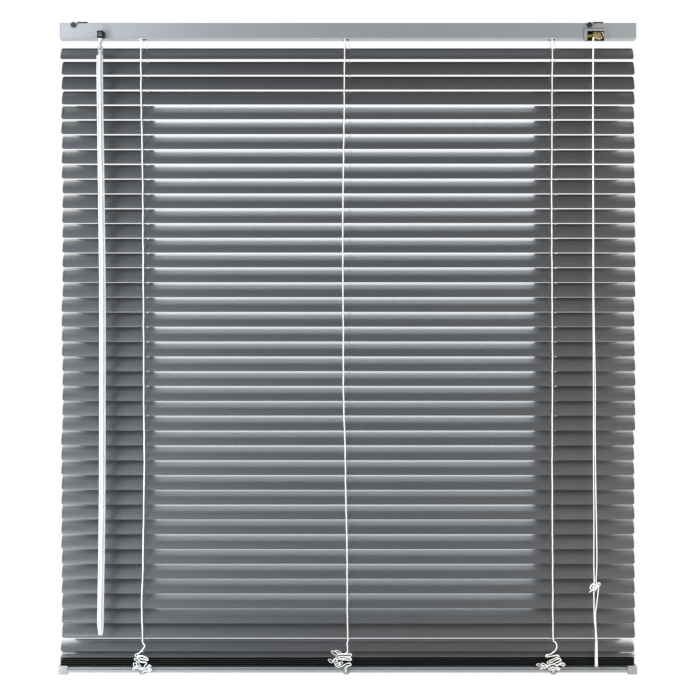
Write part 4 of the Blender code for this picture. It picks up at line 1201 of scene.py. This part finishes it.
# ---------------- floor, light
FLOOR_Z, FLOOR_RADIUS = -1.1, 0.85
bm = bmesh.new()
bmesh.ops.create_circle(
    bm, cap_ends=True, segments=96, radius=FLOOR_RADIUS, matrix=Matrix.Translation((0, 0, FLOOR_Z))
)
floor = new_object("floor", new_mesh("floor", bm))
pale = principled("pale_floor", (0.9, 0.9, 0.89), 0.85)
tree = pale.node_tree
shader, output = tree.nodes["Principled BSDF"], tree.nodes["Material Output"]
place = add_node(tree, "TexCoord")
distance = add_node(tree, "VectorMath", "LENGTH")
level = add_node(tree, "Mapping", Scale=(1.0, 1.0, 0.0))
fade = add_node(tree, "MapRange", From_Min=0.45, From_Max=0.84)
fade.interpolation_type = "SMOOTHERSTEP"
see_through = add_node(tree, "BsdfTransparent")
mix = add_node(tree, "MixShader")
for source, target in (
    (place.outputs["Object"], level.inputs["Vector"]),
    (level.outputs["Vector"], distance.inputs[0]),
    (distance.outputs["Value"], fade.inputs["Value"]),
    (fade.outputs["Result"], mix.inputs["Fac"]),
    (shader.outputs["BSDF"], mix.inputs[1]),
    (see_through.outputs["BSDF"], mix.inputs[2]),
    (mix.outputs["Shader"], output.inputs["Surface"]),
):
    tree.links.new(source, target)
floor.data.materials.append(pale)

world = bpy.data.worlds.new("studio")
bpy.context.scene.world = world
world.use_nodes = True
tree = world.node_tree
tree.nodes.clear()
output = add_node(tree, "OutputWorld")
rays = add_node(tree, "LightPath")
layers = add_node(tree, "Background", Color=(1.0, 1.0, 1.0, 1.0)).outputs["Background"]
for ray, colour, strength in (
    ("Is Diffuse Ray", (0.98, 0.99, 1.0, 1.0), 0.66),
    ("Is Glossy Ray", (0.96, 0.98, 1.0, 1.0), 0.05),
):
    backdrop = add_node(tree, "Background", Color=colour, Strength=strength)
    mix = add_node(tree, "MixShader")
    tree.links.new(rays.outputs[ray], mix.inputs["Fac"])
    tree.links.new(layers, mix.inputs[1])
    tree.links.new(backdrop.outputs["Background"], mix.inputs[2])
    layers = mix.outputs["Shader"]
tree.links.new(layers, output.inputs["Surface"])


def area_light(name, low, high, y, facing, radiance, colour=(1.0, 1.0, 1.0)):
    """An upright rectangle of light at y between two (x, z) corners, unseen by the camera."""
    width, height = high[0] - low[0], high[1] - low[1]
    data = bpy.data.lights.new(name, "AREA")
    data.shape = "RECTANGLE"
    data.size, data.size_y = width, height
    data.energy = radiance * pi * width * height
    data.color = colour
    obj = new_object(name, data)
    obj.location = ((low[0] + high[0]) / 2, y, (low[1] + high[1]) / 2)
    obj.rotation_euler = Vector(facing).to_track_quat("-Z", "Y").to_euler()
    obj.visible_camera = False
    return obj


area_light("window", (-0.271, -0.797), (0.261, -0.088), 0.0125, (0, -1, 0), 3.4, (0.95, 0.97, 1.0))
area_light("daylight_left", (-0.47, -0.85), (-0.384, -0.075), 0.03, (0, -1, 0), 2.6, (1.0, 0.99, 0.94))
area_light("daylight_right", (0.384, -0.85), (0.47, -0.075), 0.03, (0, -1, 0), 2.4, (1.0, 0.96, 0.86))
area_light("daylight_above", (-0.6, -0.3), (0.6, -0.045), 0.55, (0, -1, 0), 0.8, (0.98, 0.99, 1.0))
area_light("softbox_left", (-2.3, 0.15), (-0.7, 0.8), -2.6, (0.5, 1.0, -0.1), 2.2, (0.93, 0.96, 1.0))
area_light("softbox_right", (0.95, 0.15), (1.6, 0.8), -2.6, (-0.3, 1.0, -0.1), 1.0, (1.0, 0.99, 0.97))
for name, low, high, y, facing, radiance, colour in (
    ("side_left", (-2.9, -1.6), (-1.9, 0.5), -1.3, (1.0, 0.55, 0), 1.7, (0.97, 0.985, 1.0)),
    ("side_right", (1.9, -1.6), (2.9, 0.5), -1.3, (-1.0, 0.55, 0), 1.5, (1.0, 0.99, 0.96)),
    ("fill_left", (-0.85, -1.0), (-0.6, 0.0), -0.4, (0.45, 1.0, 0), 12.5, (0.88, 0.94, 1.0)),
    ("fill_right", (0.6, -1.0), (0.85, 0.0), -0.4, (-0.45, 1.0, 0), 5.5, (1.0, 0.96, 0.86)),
):
    area_light(name, low, high, y, facing, radiance, colour).visible_glossy = False
